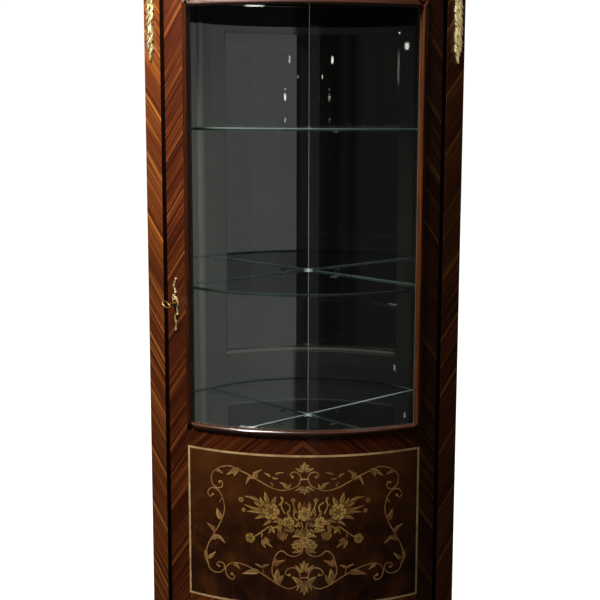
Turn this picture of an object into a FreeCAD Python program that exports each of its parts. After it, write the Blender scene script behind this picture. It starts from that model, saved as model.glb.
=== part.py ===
import FreeCAD, Part
import os
from math import asin, cos, degrees, pi, radians, sin, sqrt

V = FreeCAD.Vector

# Bow-front corner display cabinet: canted front stiles, two mirrored back walls that meet at a right
# angle, three glass shelves and one bowed door with a curved pane over an inlaid panel.
# Millimetres, +Z up, front towards -Y. The pieces are drawn about the vertical axis of the bow, with the
# floor at z = 0, and are moved along Y at the end, so that the origin is at the bottom centre.

# ---- Plan ----
WIDTH = 700.0  # across the outer edges of the two canted stiles
CANTED_WIDTH = 57.2  # each canted stile face, square to the room wall
BOW_RADIUS = 480.0  # outer face of the door and the bowed rails
WALL_THICKNESS = 10.0
MIRROR_THICKNESS = 4.0
STILE_DEPTH = 42.0  # from the canted face back along the wall
RAIL_THICKNESS = 18.0  # bowed rails above and below the door

# ---- Heights ----
BODY_BOTTOM = 168.0  # underside of the carcass, top of the feet
DOOR_SILL = 225.5  # top of the base rail
DOOR_HEAD = 1657.5  # underside of the frieze rail
DOOR_GAP = 2.5  # above and below the door
CARCASS_TOP = 1752.0
TOP_PANEL_THICKNESS = 14.0
BOARD_THICKNESS = 16.0

# ---- Door ----
DOOR_THICKNESS = 26.0
DOOR_EDGE = 38.5  # half angle of the door, degrees about the bow axis
HINGE_REVEAL_ANGLE = 39.0  # where the lining strip starts on the hinge side
LOCK_REVEAL_ANGLE = 38.8  # and on the lock side
OPENING_TURN = 0.6  # the opening's middle lies this far towards the hinge side, degrees
SIGHT_EDGE = 30.95  # half angle of the glass that shows
SIGHT_BOTTOM = 679.5
SIGHT_TOP = 1580.0
MOULDING_WIDTH = 15.5
MOULDING_REST = 11.0  # the frame's opening starts this far outside the sight line
REBATE = 3.0  # step behind the frame's opening that the glass lies in
GLASS_OUTER_R = 474.0
GLASS_THICKNESS = 4.0
BEAD_DEPTH = 8.0
PANEL_BOTTOM = 281.0
PANEL_TOP = 622.5
PANEL_THICKNESS = 16.0

# ---- Door pivots ----
PIVOT_ANGLE = 39.3
PIVOT_RADIUS = 477.0
PIVOT_PIN_R = 3.0
PIVOT_CLEARANCE = 0.05
PIVOT_EYE_R = 6.3
PIVOT_LEAF = 4.0

# ---- Shelves ----
SHELF_TOPS = {"lower": 594.8, "middle": 970.5, "upper": 1327.4}
SHELF_THICKNESS = 7.0
SHELF_FRONT_R = 350.0
SHELF_FRONT_GAP = 58.0  # from the outer face of the bow to the middle of a shelf's front edge
SHELF_CLEARANCE = 1.0
SHELF_PIN_R = 2.5
SHELF_PIN_S = (110.0, 400.0)  # places along each wall, from the rear corner

# ---- Lock ----
KEY_ANGLE = -35.5
KEY_Z = 943.0
LOCK_INNER_R = 459.0
LOCK_OUTER_R = 472.0
LOCK_LEFT = -23.0
LOCK_RIGHT = 17.0
LOCK_HALF_HEIGHT = 25.0
LOCK_WALL = 1.5
LOCK_FLANGE_HALF = 36.0
BARREL_R = 7.0
BARREL_FRONT_R = 484.5
CRANK_RADIUS = 7.0
CRANK_PIN_R = 2.5
BOLT_TRAVEL = 9.9
KEY_SHANK_R = 2.4
KEY_REST_TILT = 50.0  # the key's bow leans this far from upright at rest

# ---- Bronze ----
CHUTE_TOP = 1660.0
CHUTE_LENGTH = 194.0
CHUTE_WIDTH = 27.0
CHUTE_RELIEF = 14.0
ESCUTCHEON_TOP = 1003.0
ESCUTCHEON_BOTTOM = 880.0

# ---- Cornice ----
CORNICE_BOTTOM = 1706.0
CORNICE_OVERHANG = 24.0

# ---- Worked out ----
ROOT2 = sqrt(2.0)
HALF = WIDTH / 2
INNER_X = HALF - CANTED_WIDTH / ROOT2
STILE_ANGLE = degrees(asin(INNER_X / BOW_RADIUS))
FRONT_LINE_Y = CANTED_WIDTH / ROOT2 - sqrt(BOW_RADIUS ** 2 - INNER_X ** 2)
REAR_Y = HALF + FRONT_LINE_Y
WALL_LENGTH = HALF * ROOT2
DOOR_BOTTOM = DOOR_SILL + DOOR_GAP
DOOR_TOP = DOOR_HEAD - DOOR_GAP
DOOR_INNER_R = BOW_RADIUS - DOOR_THICKNESS
RAIL_INNER_R = BOW_RADIUS - RAIL_THICKNESS
LINING = WALL_THICKNESS + MIRROR_THICKNESS
TOTAL_HEIGHT = CARCASS_TOP + TOP_PANEL_THICKNESS
ORIGIN_SHIFT = V(0, (BOW_RADIUS + CORNICE_OVERHANG - REAR_Y) / 2, 0)


def arc_degrees(length, radius=BOW_RADIUS):
    """The angle that an arc of this length takes at this radius."""
    return degrees(length / radius)


FRAME_EDGE = SIGHT_EDGE + arc_degrees(MOULDING_REST)
FRAME_BOTTOM = SIGHT_BOTTOM - MOULDING_REST
FRAME_TOP = SIGHT_TOP + MOULDING_REST


# ---- Helpers ----
def face_of(points):
    """A flat face through these points, in order."""
    return Part.Face(Part.makePolygon(list(points) + [points[0]]))


def prism(points_xy, z0, z1):
    """An upright prism over a plan outline."""
    return face_of([V(x, y, z0) for x, y in points_xy]).extrude(V(0, 0, z1 - z0))


def revolve_about_bow(face, a0, a1):
    """A face drawn at angle zero, carried round the bow axis from a0 to a1 degrees."""
    start = face.copy()
    start.rotate(V(0, 0, 0), V(0, 0, 1), a0)
    return start.revolve(V(0, 0, 0), V(0, 0, 1), a1 - a0)


def bowed(r0, r1, a0, a1, z0, z1):
    """A bowed block between two radii, two angles and two heights."""
    outline = [V(0, -r0, z0), V(0, -r1, z0), V(0, -r1, z1), V(0, -r0, z1)]
    return revolve_about_bow(face_of(outline), a0, a1)


def turned(shape, angle):
    """The shape carried round the bow axis, from angle zero to this angle."""
    moved = shape.copy()
    moved.rotate(V(0, 0, 0), V(0, 0, 1), angle)
    return moved


def left_of(shape):
    """The mirror image of a right-hand piece."""
    return shape.mirror(V(0, 0, 0), V(1, 0, 0))


def block(x0, x1, r0, r1, z0, z1):
    """A box at angle zero: across, from radius r0 out to r1, and up."""
    return Part.makeBox(x1 - x0, r1 - r0, z1 - z0, V(x0, -r1, z0))


def radial_rod(radius, r0, r1, x, z):
    """A round bar at angle zero that points out from the bow axis."""
    return Part.makeCylinder(radius, r1 - r0, V(x, -r0, z), V(0, -1, 0))


def upright_rod(radius, x, y, z0, z1):
    """A round bar that stands upright."""
    return Part.makeCylinder(radius, z1 - z0, V(x, y, z0), V(0, 0, 1))


def on_bow(radius, angle):
    """Plan position at a radius and an angle from the front."""
    a = radians(angle)
    return radius * sin(a), -radius * cos(a)


def on_wall(s, d):
    """Plan position by the right wall: s from the rear corner, d in from the room wall."""
    return (s - d) / ROOT2, REAR_Y - (s + d) / ROOT2


def wall_prism(s0, s1, d0, d1, z0, z1):
    """An upright block square to the right-hand room wall."""
    corners = [on_wall(s0, d0), on_wall(s1, d0), on_wall(s1, d1), on_wall(s0, d1)]
    return prism(corners, z0, z1)


def wall_rod(radius, s, d0, d1, z):
    """A round bar that points straight in from the right wall."""
    x0, y0 = on_wall(s, d0)
    return Part.makeCylinder(radius, d1 - d0, V(x0, y0, z), V(-1, -1, 0))


def both_sides(shape):
    """A right-hand piece and its mirror image, as separate solids."""
    return Part.makeCompound([shape, left_of(shape)])


def arc_through(a, b, c):
    """A round edge from a to c through b."""
    return Part.Arc(a, b, c).toShape()


def line(a, b):
    return Part.LineSegment(a, b).toShape()


def screw(head_r, shank_r, length):
    """A countersunk screw that points down from its flat head at the origin."""
    head_depth = head_r - shank_r
    head = Part.makeCone(head_r, shank_r, head_depth, V(0, 0, 0), V(0, 0, -1))
    shank = Part.makeCylinder(shank_r, length - head_depth, V(0, 0, -head_depth), V(0, 0, -1))
    return head.fuse(shank)


def placed_screw(position, direction, head_r=3.4, shank_r=1.6, length=14.0):
    """A screw with its head at a position, driven along a direction."""
    body = screw(head_r, shank_r, length)
    turn = FreeCAD.Rotation(V(0, 0, -1), direction)
    body.Placement = FreeCAD.Placement(position, turn)
    return body


# ---- Carcass: walls, stiles, boards and rails ----
def stile_outline():
    """Plan of the right front stile: canted face, return towards the door, inner faces, wall rebate."""
    back = WALL_LENGTH - STILE_DEPTH
    rebate = 18.0
    inner_x, inner_y = on_bow(BOW_RADIUS - STILE_DEPTH + 3, STILE_ANGLE)
    return [
        (HALF, FRONT_LINE_Y),
        on_bow(BOW_RADIUS, STILE_ANGLE),
        (inner_x, inner_y),
        on_wall(back, WALL_THICKNESS),
        on_wall(back + rebate, WALL_THICKNESS),
        on_wall(back + rebate, 0),
    ]


def right_front_stile():
    return prism(stile_outline(), BODY_BOTTOM, CARCASS_TOP)


def reveal_strip(start_angle):
    """A dark strip that lines the opening beside the door, set back from the face."""
    set_back = 16.0
    return bowed(446.0, BOW_RADIUS - set_back, start_angle, STILE_ANGLE, DOOR_SILL, DOOR_HEAD)


def left_back_wall():
    s1 = WALL_LENGTH - STILE_DEPTH + 18.0
    return left_of(wall_prism(0, s1, 0, WALL_THICKNESS, BODY_BOTTOM, CARCASS_TOP))


def right_back_wall():
    s1 = WALL_LENGTH - STILE_DEPTH + 18.0
    return wall_prism(WALL_THICKNESS, s1, 0, WALL_THICKNESS, BODY_BOTTOM, CARCASS_TOP)


def board_outline_prism(z0, z1):
    """A board that fills the plan between the walls, the stiles and the bowed rails."""
    disc = Part.makeCylinder(RAIL_INNER_R, z1 - z0, V(0, 0, z0))
    apex = on_wall(WALL_THICKNESS, WALL_THICKNESS)
    wing = on_wall(WALL_LENGTH, WALL_THICKNESS)
    front_y = -BOW_RADIUS - 20
    outline = [apex, wing, (wing[0], front_y), (-wing[0], front_y), (-wing[0], wing[1])]
    board = prism(outline, z0, z1).common(disc)
    stile = prism(stile_outline(), z0 - 1, z1 + 1)
    return board.cut(stile).cut(left_of(stile))


def base_rail():
    """Bowed rail below the door, with a shaped lower edge between the feet."""
    blank = bowed(RAIL_INNER_R, BOW_RADIUS, -STILE_ANGLE, STILE_ANGLE, 120.0, DOOR_SILL)
    foot = right_foot()
    return blank.cut(apron_cut()).cut(foot).cut(left_of(foot))


def apron_cut():
    """The space under the shaped apron: two shallow arches each side of a small central drop."""
    low, arch, drop = 110.0, 168.0, 146.0
    y = -BOW_RADIUS - 10
    marks = [
        V(-284, y, 121), V(-262, y, 152), V(-215, y, arch), V(-120, y, 163), V(-62, y, 150),
        V(0, y, drop),
        V(62, y, 150), V(120, y, 163), V(215, y, arch), V(262, y, 152), V(284, y, 121),
    ]
    curve = Part.BSplineCurve()
    curve.interpolate(marks)
    sides = [
        line(marks[-1], V(284, y, low)),
        line(V(284, y, low), V(-284, y, low)),
        line(V(-284, y, low), marks[0]),
    ]
    outline = Part.Wire([curve.toShape()] + sides)
    return Part.Face(outline).extrude(V(0, BOW_RADIUS, 0))


def frieze_rail():
    return bowed(RAIL_INNER_R, BOW_RADIUS, -STILE_ANGLE, STILE_ANGLE, DOOR_HEAD, CARCASS_TOP)


def rear_block(z0, z1):
    """A square glue block in the rear corner."""
    side = 40.0
    return wall_prism(WALL_THICKNESS, side, WALL_THICKNESS, side, z0, z1)


# ---- Cornice and top ----
def cornice_profile(base):
    """Section of the cornice, drawn from the face at radius base outwards, at angle zero."""
    z0 = CORNICE_BOTTOM
    out = CORNICE_OVERHANG - 4.0
    p = [
        V(0, -base, z0),
        V(0, -(base + 4), z0),
        V(0, -(base + 4), z0 + 5),
        V(0, -(base + 8), z0 + 8),
        V(0, -(base + out - 3), z0 + 30),
        V(0, -(base + out), z0 + 32),
        V(0, -(base + out), z0 + 42),
        V(0, -(base + out - 3), CARCASS_TOP),
        V(0, -base, CARCASS_TOP),
    ]
    cove_mid = V(0, -(base + 10.5), z0 + 22)
    edges = [
        line(p[0], p[1]), line(p[1], p[2]), line(p[2], p[3]), arc_through(p[3], cove_mid, p[4]),
        line(p[4], p[5]), line(p[5], p[6]), line(p[6], p[7]), line(p[7], p[8]), line(p[8], p[0]),
    ]
    return Part.Face(Part.Wire(edges))


MITRE_ANGLE = (STILE_ANGLE + 45.0) / 2


def mitre_side(outer):
    """Half space outside (or inside) the mitre at the inner edge of the right canted face."""
    cx, cy = on_bow(BOW_RADIUS, STILE_ANGLE)
    size = 400.0
    box = Part.makeBox(size, 2 * size, size, V(0 if outer else -size, -size, CORNICE_BOTTOM - 100))
    box.rotate(V(0, 0, 0), V(0, 0, 1), MITRE_ANGLE)
    box.translate(V(cx, cy, 0))
    return box


def cornice_front():
    half_angle = STILE_ANGLE + 2.5
    moulding = revolve_about_bow(cornice_profile(BOW_RADIUS), -half_angle, half_angle)
    outside = mitre_side(True)
    return moulding.cut(outside).cut(left_of(outside))


def cornice_right():
    """Cornice on the right canted face, from the mitre to the room wall."""
    reach = 12.0
    section = cornice_profile(0)
    section.translate(V(-reach, 0, 0))
    run = section.extrude(V(CANTED_WIDTH + reach, 0, 0))
    run.rotate(V(0, 0, 0), V(0, 0, 1), 45)
    cx, cy = on_bow(BOW_RADIUS, STILE_ANGLE)
    run.translate(V(cx, cy, 0))
    return run.cut(mitre_side(False))


def top_panel():
    """Top board: follows the bow and the canted corners, and lies flush with the room walls."""
    lip = CORNICE_OVERHANG
    z0, z1 = CARCASS_TOP, TOTAL_HEIGHT
    disc = Part.makeCylinder(BOW_RADIUS + lip, z1 - z0, V(0, 0, z0))
    edge_x, edge_y = HALF + lip / ROOT2, FRONT_LINE_Y - lip / ROOT2
    far = 200.0
    canted_x, canted_y = edge_x - far / ROOT2, edge_y - far / ROOT2
    outline = [
        (0, REAR_Y), (edge_x, edge_y), (canted_x, canted_y), (0, -BOW_RADIUS - 200),
        (-canted_x, canted_y), (-edge_x, edge_y),
    ]
    slab = prism(outline, z0, z1).common(disc)
    front_edges = [e for e in slab.Edges if is_front_rim(e, z0, z1)]
    return slab.makeFillet(4.0, front_edges)


def is_front_rim(edge, z0, z1):
    """True for the top and bottom rims that show at the front of the top panel."""
    box = edge.BoundBox
    flat = box.ZLength < 0.01
    mid = edge.valueAt((edge.FirstParameter + edge.LastParameter) / 2)
    wall_distance = (REAR_Y - abs(mid.x) - mid.y) / ROOT2
    return flat and wall_distance > 2.0


# ---- Feet and shoes ----
FOOT_SECTIONS = [
    # height, room-wall side, inner side, back, front (the last two along the wall)
    (0.0, 20.0, 52.0, 466.0, 500.0),
    (16.0, 19.0, 51.0, 465.0, 499.0),
    (60.0, 17.0, 49.0, 463.0, 492.0),
    (110.0, 8.0, 53.0, 457.0, 497.0),
    (BODY_BOTTOM, 0.5, 55.0, WALL_LENGTH - STILE_DEPTH, WALL_LENGTH),
]


def foot_loft(grow, z_low, z_high):
    """A curved foot between two heights, its sections grown outwards by a little."""
    wires = []
    for z, d0, d1, s0, s1 in FOOT_SECTIONS:
        d0, d1, s0, s1 = d0 - grow, d1 + grow, s0 - grow, s1 + grow
        corners = [on_wall(s0, d0), on_wall(s1, d0), on_wall(s1, d1), on_wall(s0, d1)]
        points = [V(x, y, z) for x, y in corners]
        wires.append(Part.makePolygon(points + [points[0]]))
    body = Part.makeLoft(wires, True, False)
    keep = Part.makeBox(2000, 2000, z_high - z_low, V(-1000, -1000, z_low))
    return body.common(keep)


SABOT_HEIGHT = 38.0
SABOT_SOLE = 2.0
SABOT_WALL = 2.0


def right_foot():
    return foot_loft(0, SABOT_SOLE, BODY_BOTTOM)


def right_sabot():
    shell = foot_loft(SABOT_WALL, 0, SABOT_HEIGHT)
    return shell.cut(foot_loft(0, SABOT_SOLE, BODY_BOTTOM))


def rear_foot():
    side, taper = 44.0, 8.0
    low = [on_wall(s, d) for s, d in ((0, 0), (side - taper, 0), (side - taper, side - taper), (0, side - taper))]
    high = [on_wall(s, d) for s, d in ((0, 0), (side, 0), (side, side), (0, side))]
    wires = []
    for outline, z in ((low, 0.0), (high, BODY_BOTTOM)):
        points = [V(x, y, z) for x, y in outline]
        wires.append(Part.makePolygon(points + [points[0]]))
    return Part.makeLoft(wires, True, True)


# ---- Mirrors, beads and shelves ----
MIRROR_BOTTOM = DOOR_SILL
MIRROR_TOP = DOOR_HEAD + 4.0
BEAD_WIDTH = 10.0
MIRROR_EDGE_S = WALL_LENGTH - STILE_DEPTH - 1.0


def right_mirror():
    return wall_prism(LINING, MIRROR_EDGE_S, WALL_THICKNESS, LINING, MIRROR_BOTTOM, MIRROR_TOP)


def left_mirror():
    glass = wall_prism(WALL_THICKNESS, MIRROR_EDGE_S, WALL_THICKNESS, LINING, MIRROR_BOTTOM, MIRROR_TOP)
    return left_of(glass)


def right_mirror_bead():
    """A quarter-round bead that holds the mirror's front edge."""
    s1 = MIRROR_EDGE_S
    s0 = s1 - BEAD_WIDTH
    a, b, c = on_wall(s0, LINING), on_wall(s1, LINING), on_wall(s1, LINING + BEAD_WIDTH)
    mid = on_wall(s1 - BEAD_WIDTH * cos(pi / 4), LINING + BEAD_WIDTH * sin(pi / 4))
    z = MIRROR_BOTTOM
    edges = [
        line(V(*a, z), V(*b, z)),
        line(V(*b, z), V(*c, z)),
        arc_through(V(*c, z), V(*mid, z), V(*a, z)),
    ]
    return Part.Face(Part.Wire(edges)).extrude(V(0, 0, MIRROR_TOP - z))


def glass_shelf(top):
    """A three-sided pane: two straight edges along the mirrors and a bowed front edge."""
    z0 = top - SHELF_THICKNESS
    centre_y = -(BOW_RADIUS - SHELF_FRONT_GAP) + SHELF_FRONT_R
    disc = Part.makeCylinder(SHELF_FRONT_R, SHELF_THICKNESS, V(0, centre_y, z0))
    d = LINING + SHELF_CLEARANCE
    reach = 600.0  # past the bowed front, which trims it
    apex = on_wall(d, d)
    wing = on_wall(reach, d)
    outline = [apex, wing, (wing[0], wing[1] - reach), (-wing[0], wing[1] - reach), (-wing[0], wing[1])]
    return prism(outline, z0, top).common(disc)


def shelf_pin(s, top):
    """One headed pin: in the wall, through the mirror and under the shelf."""
    z = top - SHELF_THICKNESS - SHELF_PIN_R
    shank = wall_rod(SHELF_PIN_R, s, 2.5, LINING + 12, z)
    collar = wall_rod(SHELF_PIN_R + 1.5, s, LINING, LINING + 1.5, z - 1.6)
    return shank.fuse(collar)


def shelf_pins():
    pins = [both_sides(shelf_pin(s, top)) for top in SHELF_TOPS.values() for s in SHELF_PIN_S]
    return Part.makeCompound([solid for pin in pins for solid in pin.Solids])


# ---- Door frame ----
def in_opening(shape):
    """A piece drawn about angle zero, carried to the middle of the door's opening."""
    return turned(shape, OPENING_TURN)


def door_stile(side):
    """One stile, from the opening to the door's edge: side 1 carries the pivots, side -1 the lock."""
    a0, a1 = sorted((OPENING_TURN + side * FRAME_EDGE, side * DOOR_EDGE))
    blank = bowed(DOOR_INNER_R, BOW_RADIUS, a0, a1, DOOR_BOTTOM, DOOR_TOP)
    return blank.cut(in_opening(glass_rebate()))


def glass_rebate():
    """The step behind the frame's opening, which holds the pane and its beads."""
    edge = FRAME_EDGE + arc_degrees(REBATE)
    return bowed(DOOR_INNER_R - 1, GLASS_OUTER_R, -edge, edge, FRAME_BOTTOM - REBATE, FRAME_TOP + REBATE)


def door_rail(z0, z1):
    blank = bowed(DOOR_INNER_R, BOW_RADIUS, -FRAME_EDGE, FRAME_EDGE, z0, z1)
    return in_opening(blank.cut(glass_rebate()))


def door_lower_panel():
    r0 = BOW_RADIUS - PANEL_THICKNESS
    return in_opening(bowed(r0, BOW_RADIUS, -FRAME_EDGE, FRAME_EDGE, PANEL_BOTTOM, PANEL_TOP))


def door_glass():
    edge = FRAME_EDGE + arc_degrees(REBATE - 1)
    z0, z1 = FRAME_BOTTOM - REBATE + 1, FRAME_TOP + REBATE - 1
    return in_opening(bowed(GLASS_OUTER_R - GLASS_THICKNESS, GLASS_OUTER_R, -edge, edge, z0, z1))


def moulding_face(to_point):
    """Section of the glazing moulding; to_point places (distance from sight line, radius)."""
    rest, wide = MOULDING_REST, MOULDING_WIDTH
    p = [
        to_point(0, GLASS_OUTER_R),
        to_point(0.6, 483.0),
        to_point(4.2, 487.0),
        to_point(wide, 481.5),
        to_point(wide, BOW_RADIUS),
        to_point(rest, BOW_RADIUS),
        to_point(rest, GLASS_OUTER_R),
    ]
    shoulder = to_point(1.8, 485.9)
    slope = to_point(10.6, 485.4)
    edges = [
        line(p[0], p[1]), arc_through(p[1], shoulder, p[2]), arc_through(p[2], slope, p[3]),
        line(p[3], p[4]), line(p[4], p[5]), line(p[5], p[6]), line(p[6], p[0]),
    ]
    return Part.Face(Part.Wire(edges))


def corner_wedge(angle, z, lean):
    """Half space beside a 45 degree mitre at a corner of the glazing moulding."""
    size = 120.0
    box = Part.makeBox(size, size, 2 * size, V(0, -BOW_RADIUS - size / 2, -size))
    box.rotate(V(0, 0, 0), V(0, 1, 0), lean)
    box.translate(V(0, 0, z))
    return turned(box, angle)


def glazing_moulding_upright(side):
    """Upright moulding along one stile, with a mitre at each end."""
    z0, z1 = SIGHT_BOTTOM - MOULDING_WIDTH, SIGHT_TOP + MOULDING_WIDTH
    section = moulding_face(lambda w, r: V(w, -r, z0))
    bar = turned(section.extrude(V(0, 0, z1 - z0)), SIGHT_EDGE)
    bar = bar.cut(corner_wedge(SIGHT_EDGE, SIGHT_BOTTOM, 135))
    bar = bar.cut(corner_wedge(SIGHT_EDGE, SIGHT_TOP, 225))
    if side < 0:
        bar = left_of(bar)
    return in_opening(bar).cut(door_stile(side))


def glazing_moulding_bowed(z, direction):
    """Bowed moulding along the bottom (direction -1) or the top (direction 1) of the pane."""
    section = moulding_face(lambda w, r: V(0, -r, z + direction * w))
    reach = SIGHT_EDGE + arc_degrees(MOULDING_WIDTH + 2)
    bar = revolve_about_bow(section, -reach, reach)
    wedge = corner_wedge(SIGHT_EDGE, z, 45 if direction < 0 else -45)
    return in_opening(bar.cut(wedge).cut(left_of(wedge)))


def bead_face(to_point):
    """Section of the bead behind the pane: bevelled, so that it hides behind the moulding."""
    glass_r = GLASS_OUTER_R - GLASS_THICKNESS
    edge = MOULDING_REST + REBATE
    return face_of([
        to_point(4.0, glass_r),
        to_point(edge, glass_r),
        to_point(edge, glass_r - BEAD_DEPTH),
        to_point(MOULDING_REST, glass_r - BEAD_DEPTH),
    ])


def glass_bead_upright():
    """Bead along the right stile, drawn about angle zero."""
    z0, z1 = FRAME_BOTTOM - REBATE, FRAME_TOP + REBATE
    glass_r = GLASS_OUTER_R - GLASS_THICKNESS
    wide = MOULDING_REST + REBATE
    bar = turned(bead_face(lambda w, r: V(w, -r, z0)).extrude(V(0, 0, z1 - z0)), SIGHT_EDGE)
    edge = FRAME_EDGE + arc_degrees(REBATE)
    room = bowed(glass_r - BEAD_DEPTH - 1, glass_r, SIGHT_EDGE - arc_degrees(wide), edge, z0, z1)
    return bar.common(room)


def glass_bead_bowed(z, direction):
    """Bead along the bottom (direction -1) or the top (direction 1), fitted to the upright beads."""
    section = bead_face(lambda w, r: V(0, -r, z + direction * w))
    edge = FRAME_EDGE + arc_degrees(REBATE)
    upright = glass_bead_upright()
    bar = revolve_about_bow(section, -edge, edge)
    return in_opening(middle_solid(bar.cut(upright).cut(left_of(upright))))


def middle_solid(shape):
    """The largest solid of a cut, without the slivers beyond it."""
    return max(shape.Solids, key=lambda solid: solid.Volume)


# ---- Pivots: brass plates let into the rails and the door ----
def pivot_position():
    return on_bow(PIVOT_RADIUS, PIVOT_ANGLE)


def pivot_door_leaf(z0):
    """Leaf let into the end of the door, with an eye that stands out beside it."""
    x, y = pivot_position()
    eye = upright_rod(PIVOT_EYE_R, x, y, z0, z0 + PIVOT_LEAF)
    tongue = bowed(468.0, 478.5, DOOR_EDGE - 5.2, PIVOT_ANGLE, z0, z0 + PIVOT_LEAF)
    hole = upright_rod(PIVOT_PIN_R + PIVOT_CLEARANCE, x, y, z0 - 1, z0 + PIVOT_LEAF + 1)
    return eye.fuse(tongue).removeSplitter().cut(hole)


def pivot_plate(upper):
    """Plate let into a rail, with the pin that the door turns on."""
    x, y = pivot_position()
    thick = 3.0
    z0 = DOOR_HEAD if upper else DOOR_SILL - thick
    plate = bowed(465.0, BOW_RADIUS - 1.0, 34.0, STILE_ANGLE, z0, z0 + thick)
    if upper:
        pin = upright_rod(PIVOT_PIN_R, x, y, DOOR_TOP - PIVOT_LEAF - 0.5, z0 + thick)
        return plate.fuse(pin)
    pin = upright_rod(PIVOT_PIN_R, x, y, z0, DOOR_BOTTOM + PIVOT_LEAF + 0.5)
    washer = upright_rod(PIVOT_EYE_R - 0.8, x, y, z0, DOOR_BOTTOM)
    return plate.fuse(pin).fuse(washer)


def pivot_screws(upper, on_door):
    """Two countersunk screws for one pivot leaf or plate."""
    screws = []
    for angle in ((34.2, 36.4) if on_door else (34.8, 37.2)):
        x, y = on_bow(473.0, angle)
        if on_door:
            z = DOOR_TOP if upper else DOOR_BOTTOM
            direction = V(0, 0, -1) if upper else V(0, 0, 1)
        else:
            z = DOOR_HEAD if upper else DOOR_SILL
            direction = V(0, 0, 1) if upper else V(0, 0, -1)
        screws.append(placed_screw(V(x, y, z), direction))
    return screws


# ---- Lock, drawn at angle zero and then carried round to the left stile ----
def lock_case():
    """Thin box let into the door's edge, with a flange, a bolt slot and a hole for the barrel."""
    z0, z1 = KEY_Z - LOCK_HALF_HEIGHT, KEY_Z + LOCK_HALF_HEIGHT
    outer = block(LOCK_LEFT, LOCK_RIGHT, LOCK_INNER_R, LOCK_OUTER_R, z0, z1)
    w = LOCK_WALL
    inner = block(LOCK_LEFT + w, LOCK_RIGHT - w, LOCK_INNER_R + w, LOCK_OUTER_R - w, z0 + w, z1 - w)
    flange_r0, flange_r1 = LOCK_INNER_R - 2, LOCK_OUTER_R + 2
    half = LOCK_FLANGE_HALF
    flange = block(LOCK_LEFT, LOCK_LEFT + 1.5, flange_r0, flange_r1, KEY_Z - half, KEY_Z + half)
    slot = block(LOCK_LEFT - 1, LOCK_LEFT + 3, BOLT_R0 - 0.2, BOLT_R1 + 0.2, KEY_Z - 7.3, KEY_Z + 7.3)
    barrel_hole = radial_rod(BARREL_R + 0.1, LOCK_OUTER_R - 3, LOCK_OUTER_R + 1, 0, KEY_Z)
    return outer.fuse(flange).cut(inner).cut(slot).cut(barrel_hole)


BOLT_R0 = 461.0
BOLT_R1 = 465.4
BOLT_SLOT_HALF_WIDTH = CRANK_PIN_R + 0.45


def lock_bolt():
    """Sliding bolt: a square nose and a tail plate with an upright slot for the crank pin."""
    crank_x = crank_start_x()
    nose = block(LOCK_LEFT + 0.3, -8.0, BOLT_R0, BOLT_R1, KEY_Z - 7, KEY_Z + 7)
    tail = block(-9.0, 11.0, BOLT_R0, BOLT_R1, KEY_Z - 12.5, KEY_Z + 12.5)
    half = BOLT_SLOT_HALF_WIDTH
    slot = block(crank_x - half, crank_x + half, BOLT_R0 - 1, BOLT_R1 + 1, KEY_Z - 10, KEY_Z + 10)
    return nose.fuse(tail).removeSplitter().cut(slot)


def crank_start_x():
    """Where the crank pin stands at rest, a quarter turn before the bolt is fully out."""
    return BOLT_TRAVEL / 2


def lock_follower():
    """Barrel that the key turns: collar and crank pin inside the case, keyway to the front."""
    collar = radial_rod(10.0, 465.9, 470.2, 0, KEY_Z)
    barrel = radial_rod(BARREL_R, 470.2, BARREL_FRONT_R, 0, KEY_Z)
    drop = sqrt(CRANK_RADIUS ** 2 - crank_start_x() ** 2)
    pin = radial_rod(CRANK_PIN_R, 461.3, 465.9, crank_start_x(), KEY_Z - drop)
    keyway = radial_rod(KEY_SHANK_R + 0.06, 470.6, BARREL_FRONT_R + 1, 0, KEY_Z)
    slit = block(-1.1, 1.1, 470.6, BARREL_FRONT_R + 1, KEY_Z - 6.2, KEY_Z)
    slit.rotate(V(0, 0, KEY_Z), V(0, -1, 0), KEY_REST_TILT)
    return collar.fuse(barrel).fuse(pin).cut(keyway).cut(slit)


def key():
    """Shank, bit and an oval ring for the fingers."""
    ring_r = 511.5
    shank = radial_rod(KEY_SHANK_R, 471.0, 504.5, 0, KEY_Z)
    collar = radial_rod(3.9, 489.0, 491.5, 0, KEY_Z)
    bit = block(-1.0, 1.0, 472.5, 480.5, KEY_Z - 6.0, KEY_Z)
    bow = Part.makeTorus(8.0, 2.0, V(0, 0, 0), V(1, 0, 0))
    stretch = FreeCAD.Matrix()
    stretch.scale(1.0, 1.0, 1.3)
    bow = bow.transformGeometry(stretch)
    bow.translate(V(0, -ring_r, KEY_Z))
    whole = shank.fuse(collar).fuse(bit).fuse(bow)
    whole.rotate(V(0, 0, KEY_Z), V(0, -1, 0), KEY_REST_TILT)
    return whole


def lock_pocket():
    """The space cut in the left stile for the case, the flange and the barrel."""
    z0, z1 = KEY_Z - LOCK_HALF_HEIGHT, KEY_Z + LOCK_HALF_HEIGHT
    half = LOCK_FLANGE_HALF
    pocket = block(LOCK_LEFT - 9, LOCK_RIGHT, LOCK_INNER_R, LOCK_OUTER_R, z0, z1)
    recess = block(
        LOCK_LEFT - 9, LOCK_LEFT + 1.5, LOCK_INNER_R - 2, LOCK_OUTER_R + 2, KEY_Z - half, KEY_Z + half
    )
    barrel_hole = radial_rod(BARREL_R + 0.3, LOCK_OUTER_R - 1, BOW_RADIUS + 9, 0, KEY_Z)
    return turned(pocket.fuse(recess).fuse(barrel_hole), KEY_ANGLE)


def lock_strike():
    """Brass strike plate on the left reveal, with a slot for the bolt."""
    a0, a1 = LOCK_REVEAL_ANGLE, LOCK_REVEAL_ANGLE + 0.18
    plate = left_of(bowed(456.0, 464.0, a0, a1, KEY_Z - 24, KEY_Z + 24))
    return plate.cut(bolt_way())


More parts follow.
